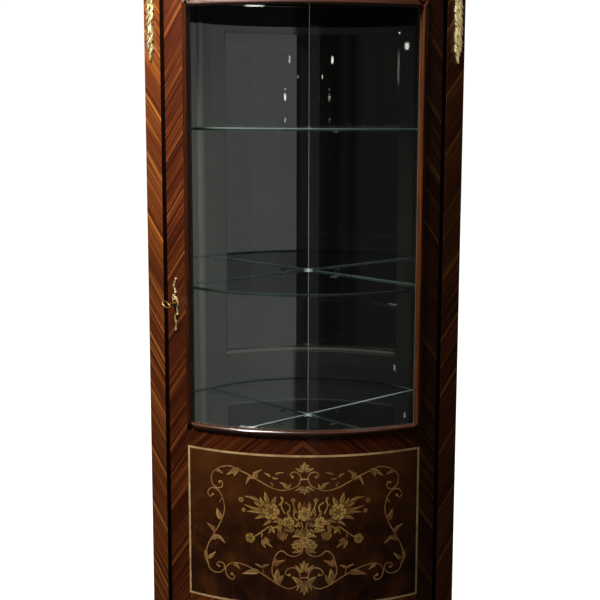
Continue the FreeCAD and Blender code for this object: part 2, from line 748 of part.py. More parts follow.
def bolt_way():
    """The straight way that the bolt needs in the carcass."""
    way = block(LOCK_LEFT - 12, LOCK_LEFT, BOLT_R0 - 0.4, BOLT_R1 + 0.4, KEY_Z - 7.5, KEY_Z + 7.5)
    return turned(way, KEY_ANGLE)


def strike_screws():
    screws = []
    angle = -LOCK_REVEAL_ANGLE
    for dz in (-17.0, 17.0):
        x, y = on_bow(460.0, angle)
        a = radians(angle)
        screws.append(placed_screw(V(x, y, KEY_Z + dz), V(-cos(a), -sin(a), 0), 2.2, 1.1, 8.0))
    return screws


def lock_screws():
    """Two screws that hold the lock's flange to the edge of the stile."""
    screws = []
    for dz in (-30.5, 30.5):
        body = placed_screw(V(LOCK_LEFT, -465.5, KEY_Z + dz), V(1, 0, 0), 2.4, 1.2, 12.0)
        screws.append(turned(body, KEY_ANGLE))
    return screws


def escutcheon():
    """Openwork key plate: a long chain of bosses with a ring round the barrel."""
    middle = (ESCUTCHEON_TOP + ESCUTCHEON_BOTTOM) / 2
    half = (ESCUTCHEON_TOP - ESCUTCHEON_BOTTOM) / 2
    face = BOW_RADIUS
    bosses = [
        (0.0, half - 4.0, 4.0), (-1.0, half - 14.0, 3.0), (0.5, half - 27.0, 4.6), (-3.0, half - 39.0, 5.0),
        (4.0, half - 43.0, 5.0), (0.0, -half + 46.0, 4.5), (2.5, -half + 34.0, 4.8), (-1.5, -half + 24.0, 4.0),
        (0.0, -half + 13.0, 3.0), (0.0, -half + 4.0, 4.0),
    ]
    plate = block(-2.2, 2.2, face - 0.5, face + 2.5, middle - half + 3, middle + half - 3)
    for x, dz, radius in bosses:
        plate = plate.fuse(radial_rod(radius, face - 0.5, face + 3.5, x, middle + dz))
    plate = plate.fuse(radial_rod(BARREL_R + 3.2, face - 0.5, face + 3.8, 0, KEY_Z))
    plate = plate.cut(radial_rod(BARREL_R + 0.2, face - 2, face + 6, 0, KEY_Z))
    plate = turned(plate, KEY_ANGLE)
    return plate.cut(Part.makeCylinder(BOW_RADIUS, TOTAL_HEIGHT))


# ---- Bronze drops on the canted faces ----
def chute():
    """A hanging drop of husks: tapered half-round stages that overlap, with a pointed end."""
    stages = 6
    parts = []
    for i in range(stages):
        top_z = CHUTE_TOP - i * CHUTE_LENGTH / (stages + 0.6)
        taper = 1.0 - 0.1 * i
        parts.append(husk(top_z, CHUTE_LENGTH / stages * 1.35, CHUTE_WIDTH / 2 * taper, CHUTE_RELIEF * taper))
    body = parts[0]
    for extra in parts[1:]:
        body = body.fuse(extra)
    behind = Part.makeBox(100, 50, TOTAL_HEIGHT, V(-50, 0, 0))
    return body.cut(behind)


def husk(top_z, height, half_width, relief):
    """One husk: a cone that narrows downwards, flattened to the relief."""
    cone = Part.makeCone(half_width, half_width * 0.3, height, V(0, 0, top_z), V(0, 0, -1))
    squash = FreeCAD.Matrix()
    squash.scale(1.0, relief / half_width, 1.0)
    return cone.transformGeometry(squash)


def right_chute():
    body = chute()
    body.rotate(V(0, 0, 0), V(0, 0, 1), 45)
    x, y = on_wall(WALL_LENGTH, CANTED_WIDTH / 2)
    body.translate(V(x, y, 0))
    return body


# ---- Assembly ----
def door_nodes():
    """All pieces of the door leaf."""
    bead = glass_bead_upright()
    nodes = {
        "door_right_stile": door_stile(1),
        "door_left_stile": door_stile(-1).cut(lock_pocket()),
        "door_top_rail": door_rail(FRAME_TOP, DOOR_TOP),
        "door_middle_rail": door_rail(PANEL_TOP, FRAME_BOTTOM),
        "door_bottom_rail": door_rail(DOOR_BOTTOM, PANEL_BOTTOM),
        "door_lower_panel": door_lower_panel(),
        "door_glass": door_glass(),
        "glazing_moulding_right": glazing_moulding_upright(1),
        "glazing_moulding_left": glazing_moulding_upright(-1),
        "glazing_moulding_top": glazing_moulding_bowed(SIGHT_TOP, 1),
        "glazing_moulding_bottom": glazing_moulding_bowed(SIGHT_BOTTOM, -1),
        "glass_bead_right": in_opening(bead),
        "glass_bead_left": in_opening(left_of(bead)),
        "glass_bead_top": glass_bead_bowed(SIGHT_TOP, 1),
        "glass_bead_bottom": glass_bead_bowed(SIGHT_BOTTOM, -1),
        "lock_case": turned(lock_case(), KEY_ANGLE),
        "escutcheon": escutcheon(),
        "upper_door_pivot": pivot_door_leaf(DOOR_TOP - PIVOT_LEAF),
        "lower_door_pivot": pivot_door_leaf(DOOR_BOTTOM),
    }
    screws = pivot_screws(True, True) + pivot_screws(False, True) + lock_screws()
    for leaf in ("upper_door_pivot", "lower_door_pivot"):
        nodes["door_right_stile"] = nodes["door_right_stile"].cut(nodes[leaf])
    seat_screws(nodes, screws, ("door_right_stile", "door_left_stile", "upper_door_pivot",
                                "lower_door_pivot", "lock_case"))
    nodes["door_screws"] = Part.makeCompound(screws)
    return nodes


def seat_screws(nodes, screws, hosts):
    """Cuts the room for the screws in each host that they meet."""
    for host in hosts:
        for body in screws:
            if nodes[host].BoundBox.intersect(body.BoundBox):
                nodes[host] = nodes[host].cut(body)


def lock_nodes():
    return {
        "lock_follower": turned(lock_follower(), KEY_ANGLE),
        "lock_bolt": turned(lock_bolt(), KEY_ANGLE),
        "key": turned(key(), KEY_ANGLE),
    }


def carcass_nodes():
    """All fixed pieces."""
    pins = shelf_pins()
    stile = right_front_stile()
    nodes = {
        "right_front_stile": stile,
        "left_front_stile": left_of(stile),
        "right_reveal_strip": reveal_strip(HINGE_REVEAL_ANGLE),
        "left_reveal_strip": left_of(reveal_strip(LOCK_REVEAL_ANGLE)).cut(bolt_way()),
        "right_back_wall": right_back_wall().cut(pins),
        "left_back_wall": left_back_wall().cut(pins),
        "bottom_board": board_outline_prism(DOOR_SILL - BOARD_THICKNESS, DOOR_SILL),
        "top_board": board_outline_prism(MIRROR_TOP, MIRROR_TOP + BOARD_THICKNESS),
        "base_rail": base_rail(),
        "frieze_rail": frieze_rail(),
        "rear_block_lower": rear_block(BODY_BOTTOM, DOOR_SILL - BOARD_THICKNESS),
        "rear_block_upper": rear_block(MIRROR_TOP + BOARD_THICKNESS, CARCASS_TOP),
        "cornice_front": cornice_front(),
        "cornice_right": cornice_right(),
        "cornice_left": left_of(cornice_right()),
        "top_panel": top_panel(),
        "right_foot": right_foot(),
        "left_foot": left_of(right_foot()),
        "right_sabot": right_sabot(),
        "left_sabot": left_of(right_sabot()),
        "rear_foot": rear_foot(),
        "right_mirror": right_mirror().cut(pins),
        "left_mirror": left_mirror().cut(pins),
        "right_mirror_bead": right_mirror_bead(),
        "left_mirror_bead": left_of(right_mirror_bead()),
        "shelf_pins": pins,
        "right_chute": right_chute(),
        "left_chute": left_of(right_chute()),
        "lock_strike": lock_strike(),
        "upper_pivot_plate": pivot_plate(True),
        "lower_pivot_plate": pivot_plate(False),
    }
    for name, top in SHELF_TOPS.items():
        nodes["shelf_" + name] = glass_shelf(top)
    nodes["frieze_rail"] = nodes["frieze_rail"].cut(nodes["upper_pivot_plate"])
    nodes["base_rail"] = nodes["base_rail"].cut(nodes["lower_pivot_plate"])
    nodes["left_reveal_strip"] = nodes["left_reveal_strip"].cut(nodes["lock_strike"])
    screws = pivot_screws(True, False) + pivot_screws(False, False) + strike_screws()
    seat_screws(nodes, screws, ("frieze_rail", "base_rail", "upper_pivot_plate", "lower_pivot_plate",
                                "lock_strike", "left_reveal_strip", "left_front_stile"))
    nodes["carcass_screws"] = Part.makeCompound(screws)
    return nodes


def main():
    os.makedirs("parts", exist_ok=True)
    nodes = carcass_nodes()
    nodes.update(door_nodes())
    nodes.update(lock_nodes())
    for name, shape in nodes.items():
        placed = shape.copy()
        placed.translate(ORIGIN_SHIFT)
        placed.exportStep("parts/" + name + ".step")


main()
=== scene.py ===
import random
from math import cos, pi, radians, sin, sqrt

import bmesh
import bpy
from mathutils import Matrix, Vector


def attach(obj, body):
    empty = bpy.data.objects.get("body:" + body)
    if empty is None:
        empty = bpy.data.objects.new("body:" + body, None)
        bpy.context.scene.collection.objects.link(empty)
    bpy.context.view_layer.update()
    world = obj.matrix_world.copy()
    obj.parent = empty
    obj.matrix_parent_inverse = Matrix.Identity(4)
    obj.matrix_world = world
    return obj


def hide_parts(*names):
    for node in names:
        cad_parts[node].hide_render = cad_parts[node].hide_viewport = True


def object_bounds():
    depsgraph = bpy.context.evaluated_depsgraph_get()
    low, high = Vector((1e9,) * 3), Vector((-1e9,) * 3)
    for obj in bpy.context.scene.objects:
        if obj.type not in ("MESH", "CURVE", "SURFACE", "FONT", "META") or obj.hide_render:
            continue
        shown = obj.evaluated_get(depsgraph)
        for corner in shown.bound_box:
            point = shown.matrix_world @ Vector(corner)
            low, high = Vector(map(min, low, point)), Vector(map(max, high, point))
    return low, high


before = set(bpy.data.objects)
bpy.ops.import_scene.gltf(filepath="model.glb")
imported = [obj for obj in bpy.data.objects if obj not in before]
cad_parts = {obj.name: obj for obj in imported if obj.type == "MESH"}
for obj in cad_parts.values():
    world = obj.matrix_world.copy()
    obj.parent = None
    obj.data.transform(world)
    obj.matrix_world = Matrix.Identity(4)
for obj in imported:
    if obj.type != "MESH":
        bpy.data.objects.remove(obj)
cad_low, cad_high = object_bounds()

# Everything is in metres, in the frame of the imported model: +Z up, front towards -Y.

# ---- Sizes ----
BOW_RADIUS = 0.480
WIDTH = 0.700
CANTED_WIDTH = 0.0572
ROOT2 = sqrt(2.0)
HALF = WIDTH / 2
INNER_X = HALF - CANTED_WIDTH / ROOT2
REAR_Y = cad_high.y  # the room corner
FRONT_LINE_Y = REAR_Y - HALF  # the outer edges of the canted stiles
BOW_Y = FRONT_LINE_Y - CANTED_WIDTH / ROOT2 + sqrt(BOW_RADIUS ** 2 - INNER_X ** 2)  # the bow's axis
WALL_LENGTH = HALF * ROOT2
KEY_ANGLE = radians(-35.5)
KEY_Z = 0.943
OPENING_TURN = radians(0.6)  # the middle of the door's opening, towards the hinge side
FRAME_EDGE = radians(32.26)  # half angle of the opening
PANEL_BOTTOM = 0.281
PANEL_TOP = 0.6225
PANEL_MIDDLE_Z = (PANEL_BOTTOM + PANEL_TOP) / 2
CHUTE_TOP = 1.660
CHUTE_LENGTH = 0.194


def on_bow(radius, angle, z):
    """A point about the bow's axis; the angle is in radians from the front, positive to the right."""
    return Vector((radius * sin(angle), BOW_Y - radius * cos(angle), z))


# ---- Node trees ----
class Tree:
    """Short ways to build a node tree, from sockets and plain values."""

    def __init__(self, owner):
        self.owner = owner
        owner.use_nodes = True
        self.nodes = owner.node_tree.nodes
        self.links = owner.node_tree.links
        self.nodes.clear()

    def put(self, socket, value):
        if isinstance(value, bpy.types.NodeSocket):
            self.links.new(value, socket)
        elif socket.type == "RGBA":
            socket.default_value = (*value, 1.0)
        else:
            socket.default_value = value

    def node(self, kind, inputs=(), **settings):
        made = self.nodes.new("ShaderNode" + kind)
        for name, value in settings.items():
            setattr(made, name, value)
        for name, value in dict(inputs).items():
            self.put(made.inputs[name], value)
        return made

    def math(self, operation, a, b=0.0):
        return self.node("Math", {0: a, 1: b}, operation=operation).outputs[0]

    def times(self, a, b):
        return self.math("MULTIPLY", a, b)

    def plus(self, a, b):
        return self.math("ADD", a, b)

    def minus(self, a, b):
        return self.math("SUBTRACT", a, b)

    def above(self, a, b):
        """1 where a is greater than b."""
        return self.math("GREATER_THAN", a, b)

    def below(self, a, b):
        """1 where a is less than b."""
        return self.math("LESS_THAN", a, b)

    def size(self, a):
        return self.math("ABSOLUTE", a)

    def parts(self, vector):
        """The x, y, z of a vector."""
        return tuple(self.node("SeparateXYZ", {0: vector}).outputs)

    def position(self):
        """x, y, z on the piece, in the frame of the model."""
        return self.parts(self.node("TexCoord").outputs["Object"])

    def normal(self):
        """x, y, z of the face's direction, in the same frame."""
        return self.parts(self.node("TexCoord").outputs["Normal"])

    def vector(self, *parts):
        """A vector of three parts, each a value or a pair: a value and what it's multiplied by."""
        values = [self.times(*part) if isinstance(part, tuple) else part for part in parts]
        return self.node("CombineXYZ", dict(enumerate(values))).outputs[0]

    def noise(self, vector, scale=1.0, detail=3.0, rough=0.55, bend=0.0):
        values = {"Vector": vector, "Scale": scale, "Detail": detail, "Roughness": rough, "Distortion": bend}
        return self.node("TexNoise", values).outputs[0]

    def patches(self, scale, detail=3.0):
        """Noise all over the piece."""
        return self.noise(self.vector(*self.position()), scale, detail)

    def span(self, value, low, high, to_low=0.0, to_high=1.0):
        """The value carried from one range to another, clamped."""
        values = dict(enumerate((value, low, high, to_low, to_high)))
        return self.node("MapRange", values).outputs[0]

    def ramp(self, factor, stops):
        made = self.node("ValToRGB", {0: factor})
        elements = made.color_ramp.elements
        while len(elements) < len(stops):
            elements.new(0.5)
        for element, (at, color) in zip(elements, stops):
            element.position = at
            element.color = (*color, 1.0)
        return made.outputs[0]

    def mix(self, factor, a, b, blend="MIX"):
        """A mixture of two colours."""
        values = {0: factor, 6: a, 7: b}
        return self.node("Mix", values, data_type="RGBA", blend_type=blend).outputs[2]

    def over(self, color, other, value, low, high, share):
        """The other colour laid over one, up to a share, as the value goes from low to high."""
        return self.mix(self.span(value, low, high, 0.0, share), color, other)

    def bump(self, height, distance, strength):
        inputs = {"Height": height, "Distance": distance, "Strength": strength}
        return self.node("Bump", inputs).outputs[0]

    def principled(self, **inputs):
        """A Principled shader; input names are written with _ for a space."""
        named = {name.replace("_", " "): value for name, value in inputs.items()}
        return self.node("BsdfPrincipled", named).outputs[0]

    def blend(self, share, a, b):
        """A mixture of two shaders."""
        return self.node("MixShader", {0: share, 1: a, 2: b}).outputs[0]

    def end(self, surface, kind="OutputMaterial"):
        """Ends the tree with its surface shader, and returns its owner."""
        self.node(kind, {"Surface": surface})
        return self.owner

    def finish(self, **inputs):
        """Ends the tree with a Principled shader."""
        return self.end(self.principled(**inputs))


def srgb(r, g, b):
    """A colour given as 0-255 screen values, as linear light."""
    def one(v):
        v /= 255.0
        return v / 12.92 if v <= 0.04045 else ((v + 0.055) / 1.055) ** 2.4
    return one(r), one(g), one(b)


def scaled(color, factor):
    return tuple(factor * value for value in color)


def new_tree(name):
    """The tree of a new material."""
    return Tree(bpy.data.materials.new(name))


# ---- Wood ----
SKIN = 0.0006  # a point this near to the outer face counts as on it
LEAF_STOPS = [  # across one leaf of striped veneer, from its light edge to its dark side
    (0.00, srgb(92, 42, 16)), (0.03, srgb(188, 106, 52)), (0.085, srgb(170, 92, 44)),
    (0.105, srgb(88, 38, 14)), (0.14, srgb(142, 72, 32)), (0.17, srgb(76, 32, 11)),
    (0.21, srgb(152, 80, 36)), (0.24, srgb(96, 42, 15)), (0.30, srgb(140, 70, 32)),
    (0.33, srgb(86, 36, 13)), (0.40, srgb(126, 60, 26)), (0.47, srgb(138, 68, 30)),
    (0.50, srgb(92, 38, 14)), (0.58, srgb(118, 54, 24)), (0.66, srgb(98, 41, 18)),
    (0.72, srgb(122, 56, 26)), (0.80, srgb(94, 38, 17)), (0.90, srgb(104, 44, 20)),
    (0.95, srgb(76, 30, 13)), (1.00, srgb(92, 42, 16)),
]
VENEER_LINES = [(0.30, (0.26, 0.22, 0.20)), (0.70, (0.92, 0.90, 0.86))]  # overlaid on the leaves
GROUND_STOPS = [(0.30, srgb(40, 19, 8)), (0.50, srgb(68, 35, 13)), (0.68, srgb(98, 54, 21))]
GROUND_LINES = [(0.3, (0.30, 0.28, 0.26)), (0.7, (0.80, 0.78, 0.74))]
DARK = srgb(44, 22, 11)
LINING = srgb(106, 108, 105)
LINING_TOP = 1.5995  # the lining ends at this height, and painted shade begins
HEAD_PAINTED_SHADE = srgb(15, 15, 14)  # painted shade above it, under the top board
STILE_LINING_RADIUS = 0.4555
RAIL_LINING_RADIUS = 0.4700
MOULDING_BACK = 0.4752  # the faces of the mouldings against the pane lie inside this radius


def bow_radius(t, x, y):
    """Distance from the bow's axis."""
    back = t.minus(BOW_Y, y)
    return t.math("SQRT", t.plus(t.times(x, x), t.times(back, back)))


def canted_across(t):
    """Distance across a canted face, the same on both sides, the height, and 1 on the face itself."""
    x, y, z = t.position()
    side = t.size(x)
    across = t.times(t.plus(side, y), 1 / ROOT2)
    along_wall = t.times(t.plus(side, t.minus(REAR_Y, y)), 1 / ROOT2)
    return across, z, t.above(along_wall, WALL_LENGTH - SKIN)


def bow_across(t):
    """Distance round the bow from the opening's middle, both ways, the height, and 1 on the outer face."""
    x, y, z = t.position()
    turn = t.math("ARCTAN2", x, t.minus(BOW_Y, y))
    angle = t.size(t.minus(turn, OPENING_TURN))
    return t.times(angle, BOW_RADIUS), z, t.above(bow_radius(t, x, y), BOW_RADIUS - SKIN)


def lining(t, limit):
    """Plain satin inside a radius about the bow's axis, with painted shade over its head, and dark on every
    other unveneered face.
    """
    x, y, z = t.position()
    cloth = t.mix(t.patches(12.0), LINING, scaled(LINING, 0.9))
    # painted shade over the lining's head, where the top board shades the inside
    cloth = t.mix(t.above(z, LINING_TOP), cloth, HEAD_PAINTED_SHADE)
    return t.mix(t.below(bow_radius(t, x, y), limit), DARK, cloth)


def lined_wood(name):
    """Dark wood with the lining's finish on the faces that don't look outwards."""
    t = new_tree(name)
    x, y = t.position()[:2]
    aim_x, aim_y = t.normal()[:2]
    away = t.plus(t.times(x, aim_x), t.times(t.minus(y, BOW_Y), aim_y))
    color = t.mix(t.above(away, 0.5 * BOW_RADIUS), lining(t, RAIL_LINING_RADIUS), DARK)
    grain = t.bump(t.patches(40.0), 0.0002, 0.3)
    return t.finish(Base_Color=color, Roughness=0.5, Normal=grain)


def striped_veneer(name, leaves, shift, seed, depth, tint):
    """Polished veneer laid aslant in narrow leaves that repeat, as on the stiles and rails.

    Of leaves, lean is the grain's angle from upright in degrees (positive leans outwards as it rises),
    period the distance between like stripes, square to the grain, and limit the radius of the lining on the
    other faces. shift moves the stripes along, depth darkens them and tint multiplies their colour; on the
    stiles and door stiles, left and right, the two are painted light and shade, set by how light falls on
    each side."""
    across, lean, period, limit = leaves
    t = new_tree(name)
    u, z, front = across(t)
    a = radians(lean)
    along = t.plus(t.times(u, sin(a)), t.times(z, cos(a)))
    square = t.minus(t.times(u, cos(a)), t.times(z, sin(a)))
    drift = t.noise(t.vector((along, 2.0), (square, 5.0), seed), detail=1.0)
    turns = t.plus(t.math("DIVIDE", square, period), shift)
    turns = t.plus(turns, t.times(t.minus(drift, 0.5), 0.06))
    place = t.math("FRACT", turns)
    wobble = t.noise(t.vector((t.math("FLOOR", turns), 3.7), (place, 3.0), seed + 4.0), detail=1.0)
    warped = t.plus(place, t.times(t.minus(wobble, 0.5), 0.30))
    lines = t.noise(t.vector((square, 420.0), (along, 2.0), seed), detail=2.0)
    fine = t.noise(t.vector((square, 1300.0), (along, 8.0), seed), rough=0.6)
    pores = t.noise(t.vector((square, 2600.0), (along, 90.0), seed), detail=2.0)
    broad = t.noise(t.vector((square, 34.0), (along, 5.0), seed + 9.0), detail=2.0)
    color = t.ramp(t.math("FRACT", warped), LEAF_STOPS)
    color = t.over(color, srgb(58, 22, 8), lines, 0.50, 0.60, 0.75)
    color = t.over(color, srgb(212, 116, 50), lines, 0.45, 0.36, 0.50)
    color = t.mix(0.75, color, t.ramp(fine, VENEER_LINES), "OVERLAY")
    color = t.over(color, srgb(44, 17, 6), pores, 0.56, 0.72, 0.4)
    color = t.over(color, srgb(84, 34, 12), broad, 0.42, 0.7, 0.45)
    # depth and tint: painted shade and painted light where the left- and right-hand pieces are copies of one
    # veneer
    color = t.mix(depth, color, srgb(34, 16, 8))
    color = t.mix(1.0, color, tint, "MULTIPLY")
    return t.finish(
        Base_Color=t.mix(front, lining(t, limit), color),
        Roughness=t.span(fine, 0.2, 0.8, 0.30, 0.42),
        Coat_Weight=0.5,
        Coat_Roughness=0.09,
        Normal=t.bump(t.plus(t.times(pores, 0.15), t.patches(26.0, 2.0)), 0.0003, 0.35),
    )


def plain_wood(name, dark, light, roughness, coat, grain_axis="Z", behind=0.0):
    """Straight-grained wood; grain_axis is the way its grain runs.

    Inside the radius behind, about the bow's axis, it has the lining's finish."""
    t = new_tree(name)
    x, y, z = t.position()
    long, other = {"Z": (z, (x, y)), "X": (x, (y, z))}[grain_axis]
    fine = t.noise(t.vector((other[0], 320.0), (other[1], 320.0), (long, 9.0)), 1.0, 4.0, 0.6)
    color = t.ramp(fine, [(0.28, dark), (0.72, light)])
    color = t.over(color, dark, t.patches(7.0), 0.35, 0.7, 0.5)
    if behind:
        color = t.mix(t.below(bow_radius(t, x, y), behind), color, lining(t, behind))
    return t.finish(
        Base_Color=color,
        Roughness=t.span(fine, 0.2, 0.8, roughness, roughness + 0.1),
        Coat_Weight=coat,
        Coat_Roughness=0.08,
        Normal=t.bump(fine, 0.0002, 0.25),
    )


def panel_ground(name):
    """The dark, quarter-matched ground of the inlaid panel, warmer towards the top."""
    t = new_tree(name)
    u, z, front = bow_across(t)
    middle = t.size(t.minus(z, PANEL_MIDDLE_Z))
    figure = t.noise(t.vector((u, 16.0), (middle, 9.0), 2.0), 1.0, 4.0, 0.6, 1.2)
    lines = t.plus(t.times(u, 200.0), t.times(middle, 90.0))
    fine = t.noise(t.vector(lines, (figure, 26.0), (middle, 8.0)), 1.0, 4.0, 0.6)
    smoke = t.noise(t.vector((u, 7.0), (middle, 6.0), 5.0), detail=2.0)
    color = t.ramp(figure, GROUND_STOPS)
    color = t.mix(0.45, color, t.ramp(fine, GROUND_LINES), "OVERLAY")
    color = t.over(color, srgb(30, 17, 13), smoke, 0.45, 0.62, 0.5)
    color = t.over(color, srgb(114, 64, 24), z, 0.42, 0.62, 0.45)
    return t.finish(
        Base_Color=t.mix(front, lining(t, RAIL_LINING_RADIUS), color),
        Roughness=0.32,
        Coat_Weight=0.5,
        Coat_Roughness=0.1,
        Normal=t.bump(t.patches(26.0, 2.0), 0.0003, 0.35),
    )


def inlay_wood(name, light, warm, shade):
    """Pale inlay with a fine straight grain: warmer by the piece's tone, scorched by its shade."""
    t = new_tree(name)
    x, y, z = t.position()
    shadow = t.node("Attribute", attribute_name="shade").outputs["Fac"]
    tone = t.node("Attribute", attribute_name="tone").outputs["Fac"]
    fine = t.noise(t.vector((x, 900.0), y, (z, 220.0)))
    color = t.mix(t.span(fine, 0.3, 0.7), light, scaled(light, 0.72))
    color = t.mix(tone, color, warm)
    color = t.over(color, shade, t.patches(34.0, 2.0), 0.42, 0.66, 0.45)
    return t.finish(
        Base_Color=t.mix(shadow, color, shade),
        Roughness=0.34,
        Coat_Weight=0.5,
        Coat_Roughness=0.1,
        Normal=t.bump(fine, 0.0001, 0.3),
    )


# ---- Glass, mirror and metal ----
GLASS_INDEX = 1.5
PANE_TINT = (0.95, 0.955, 0.95)
SHELF_TINT = (0.96, 0.975, 0.965)
SHELF_EDGE = (0.22, 0.34, 0.30)
ARRIS_HIGHLIGHT = 0.0034  # width of the painted highlight along the top of a shelf's edge
CORNER_HIGHLIGHT = 0.012  # the shelf's tip in the room corner has a painted highlight this far either side
MIRROR_JOINT = 0.0009  # the polished edges where the two mirrors meet are this far either side


def clear_glass(t, tint, outer_only=False):
    """Glass that lets light straight through and shines by Fresnel, on both sides or the outer one."""
    clear = t.node("BsdfTransparent", {"Color": tint}).outputs[0]
    shine = t.node("BsdfGlossy", {"Roughness": 0.0, "Color": (1.0, 1.0, 1.0)}).outputs[0]
    # a thin sheet shines alike from both sides of each face
    inner = t.node("NewGeometry").outputs["Backfacing"]
    index = t.span(inner, 0.0, 1.0, GLASS_INDEX, 1 / GLASS_INDEX)
    fresnel = t.node("Fresnel", {"IOR": index}).outputs[0]
    if outer_only:
        fresnel = t.times(fresnel, t.minus(1.0, inner))
    return t.blend(fresnel, clear, shine)


def pane_glass(name):
    t = new_tree(name)
    return t.end(clear_glass(t, PANE_TINT))


def shelf_glass(name, top, left, right):
    """A clear sheet with tinted edges.

    top is the height of its upper face. A painted highlight runs along the top of its edges: left and right
    say how bright it is on each side. It's brightest in the room corner, where the tip has a painted
    highlight too."""
    t = new_tree(name)
    x, y, z = t.position()
    # only the side that light comes in by shines, or light would be caught inside the sheet
    face = clear_glass(t, SHELF_TINT, True)
    upright = t.below(t.size(t.normal()[2]), 0.5)
    deep = t.node("BsdfTransparent", {"Color": SHELF_EDGE}).outputs[0]
    body = t.principled(Base_Color=SHELF_EDGE, Roughness=0.25)
    # painted highlight: a pale finish laid on the top edges and the corner tip
    pale = t.principled(Base_Color=(0.80, 0.90, 0.86), Roughness=0.3)
    rim = t.blend(t.span(t.patches(14.0, 2.0), 0.2, 0.8, 0.06, 0.18), deep, body)
    arris_highlight = t.times(t.span(z, top - ARRIS_HIGHLIGHT, top - 0.6 * ARRIS_HIGHLIGHT), t.span(x, -0.02, 0.03, left, right))
    corner = t.times(t.span(t.size(x), 0.003, CORNER_HIGHLIGHT, 1.0, 0.0), t.above(y, 0.0))
    rim = t.blend(t.math("MAXIMUM", arris_highlight, corner), rim, pale)
    return t.end(t.blend(upright, face, rim))


def mirror_glass(name):
    t = new_tree(name)
    color = t.mix(t.span(t.patches(5.0), 0.3, 0.7), (0.85, 0.86, 0.85), (0.88, 0.89, 0.88))
    silver = t.node("BsdfGlossy", {"Color": color, "Roughness": 0.0}).outputs[0]
    edge = t.principled(Base_Color=(0.17, 0.20, 0.19), Roughness=0.3)
    return t.end(t.blend(t.below(t.size(t.position()[0]), MIRROR_JOINT), silver, edge))


def gilt_bronze(name):
    """Chased and gilt bronze: bright burnished tops, and matt hollows darkened with painted shade where
    occlusion finds them.
    """
    t = new_tree(name)
    patches = t.patches(60.0)
    occlusion_shade = t.node("AmbientOcclusion", {"Distance": 0.004}, samples=6).outputs["AO"]
    color = t.mix(t.span(patches, 0.3, 0.7), srgb(198, 184, 138), srgb(176, 156, 106))
    # painted shade: darker brown where occlusion finds a hollow
    color = t.mix(t.span(occlusion_shade, 0.20, 0.65, 0.65, 0.0), color, srgb(104, 74, 36))
    return t.finish(
        Base_Color=color,
        Metallic=0.45,
        Roughness=t.span(patches, 0.3, 0.7, 0.44, 0.56),
        Normal=t.bump(t.patches(900.0), 0.0002, 0.6),
    )


def plain_metal(name, color, roughness, metallic=1.0):
    t = new_tree(name)
    x, y, z = t.position()
    brushed = t.noise(t.vector((x, 40.0), (y, 40.0), (z, 900.0)))
    return t.finish(
        Base_Color=t.mix(t.span(brushed, 0.3, 0.7), color, scaled(color, 0.78)),
        Metallic=metallic,
        Roughness=t.span(brushed, 0.3, 0.7, roughness, roughness + 0.12),
        Normal=t.bump(brushed, 0.00005, 0.3),
    )


# ---- Materials for the construction pieces ----
def dress(material, *names):
    """Gives CAD nodes a material."""
    for name in names:
        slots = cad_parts[name].data.materials
        if not slots:
            slots.append(material)
        for i in range(len(slots)):
            slots[i] = material


# how the leaves lie: across, lean, period, and the radius of the lining behind them
STILE_LEAVES = (canted_across, 44, 0.0926, STILE_LINING_RADIUS)
DOOR_LEAVES = (bow_across, -38, 0.081, STILE_LINING_RADIUS)
RAIL_LEAVES = (bow_across, -50, 0.075, RAIL_LINING_RADIUS)
FRIEZE_LEAVES = (bow_across, -50, 0.075, STILE_LINING_RADIUS)
VENEERS = [
    # name, leaves, shift, seed, depth, tint, nodes
    # the stiles' depth and tint differ by side as painted light and shade: the right-hand pieces face away
    # from the light
    ("veneer_left_stile", STILE_LEAVES, 0.12, 1.0, 0.0, (1.0, 1.22, 1.15), ["left_front_stile"]),
    ("veneer_right_stile", STILE_LEAVES, 0.55, 6.0, 0.3, (1.4, 1.9, 2.1), ["right_front_stile"]),
    ("veneer_left_door", DOOR_LEAVES, 0.31, 2.0, 0.0, (0.52, 0.50, 0.50), ["door_left_stile"]),
    ("veneer_right_door", DOOR_LEAVES, 0.74, 7.0, 0.25, (0.50, 0.72, 0.85), ["door_right_stile"]),
    ("veneer_rails", RAIL_LEAVES, 0.4, 3.0, 0.1, (0.50, 0.45, 0.42), ["door_top_rail", "door_middle_rail"]),
    ("veneer_bottom_rail", RAIL_LEAVES, 0.4, 3.0, 0.1, (1.0, 1.0, 1.0), ["door_bottom_rail"]),
    ("veneer_frieze", FRIEZE_LEAVES, 0.9, 4.0, 0.0, (1.0, 1.0, 1.0), ["frieze_rail", "base_rail"]),
]
MOULDINGS = [
    # name, side, dark, light, roughness, coat, the way of the grain
    # the left copy is darker and the right lighter: painted shade and painted light, with the light coming
    # from the left
    ("moulding_wood", "left", srgb(40, 18, 8), srgb(82, 39, 18), 0.22, 0.7, "Z"),
    ("moulding_wood_lighter", "right", srgb(60, 30, 12), srgb(122, 64, 28), 0.22, 0.6, "Z"),
    ("moulding_wood_top", "top", srgb(46, 20, 9), srgb(96, 46, 22), 0.45, 0.08, "X"),
    ("moulding_wood_bottom", "bottom", srgb(52, 25, 11), srgb(108, 56, 26), 0.26, 0.9, "X"),
]
SHELVES = [
    # node, height of its top, how bright the painted highlight along its top edges is on the left and on the
    # right
    ("shelf_upper", 1.3274, 0.30, 0.22),
    ("shelf_middle", 0.9705, 0.05, 0.06),
    ("shelf_lower", 0.5948, 0.90, 0.03),
]
GLASS_BEADS = ["glass_bead_left", "glass_bead_right", "glass_bead_top", "glass_bead_bottom"]
GILT = gilt_bronze("gilt_bronze")


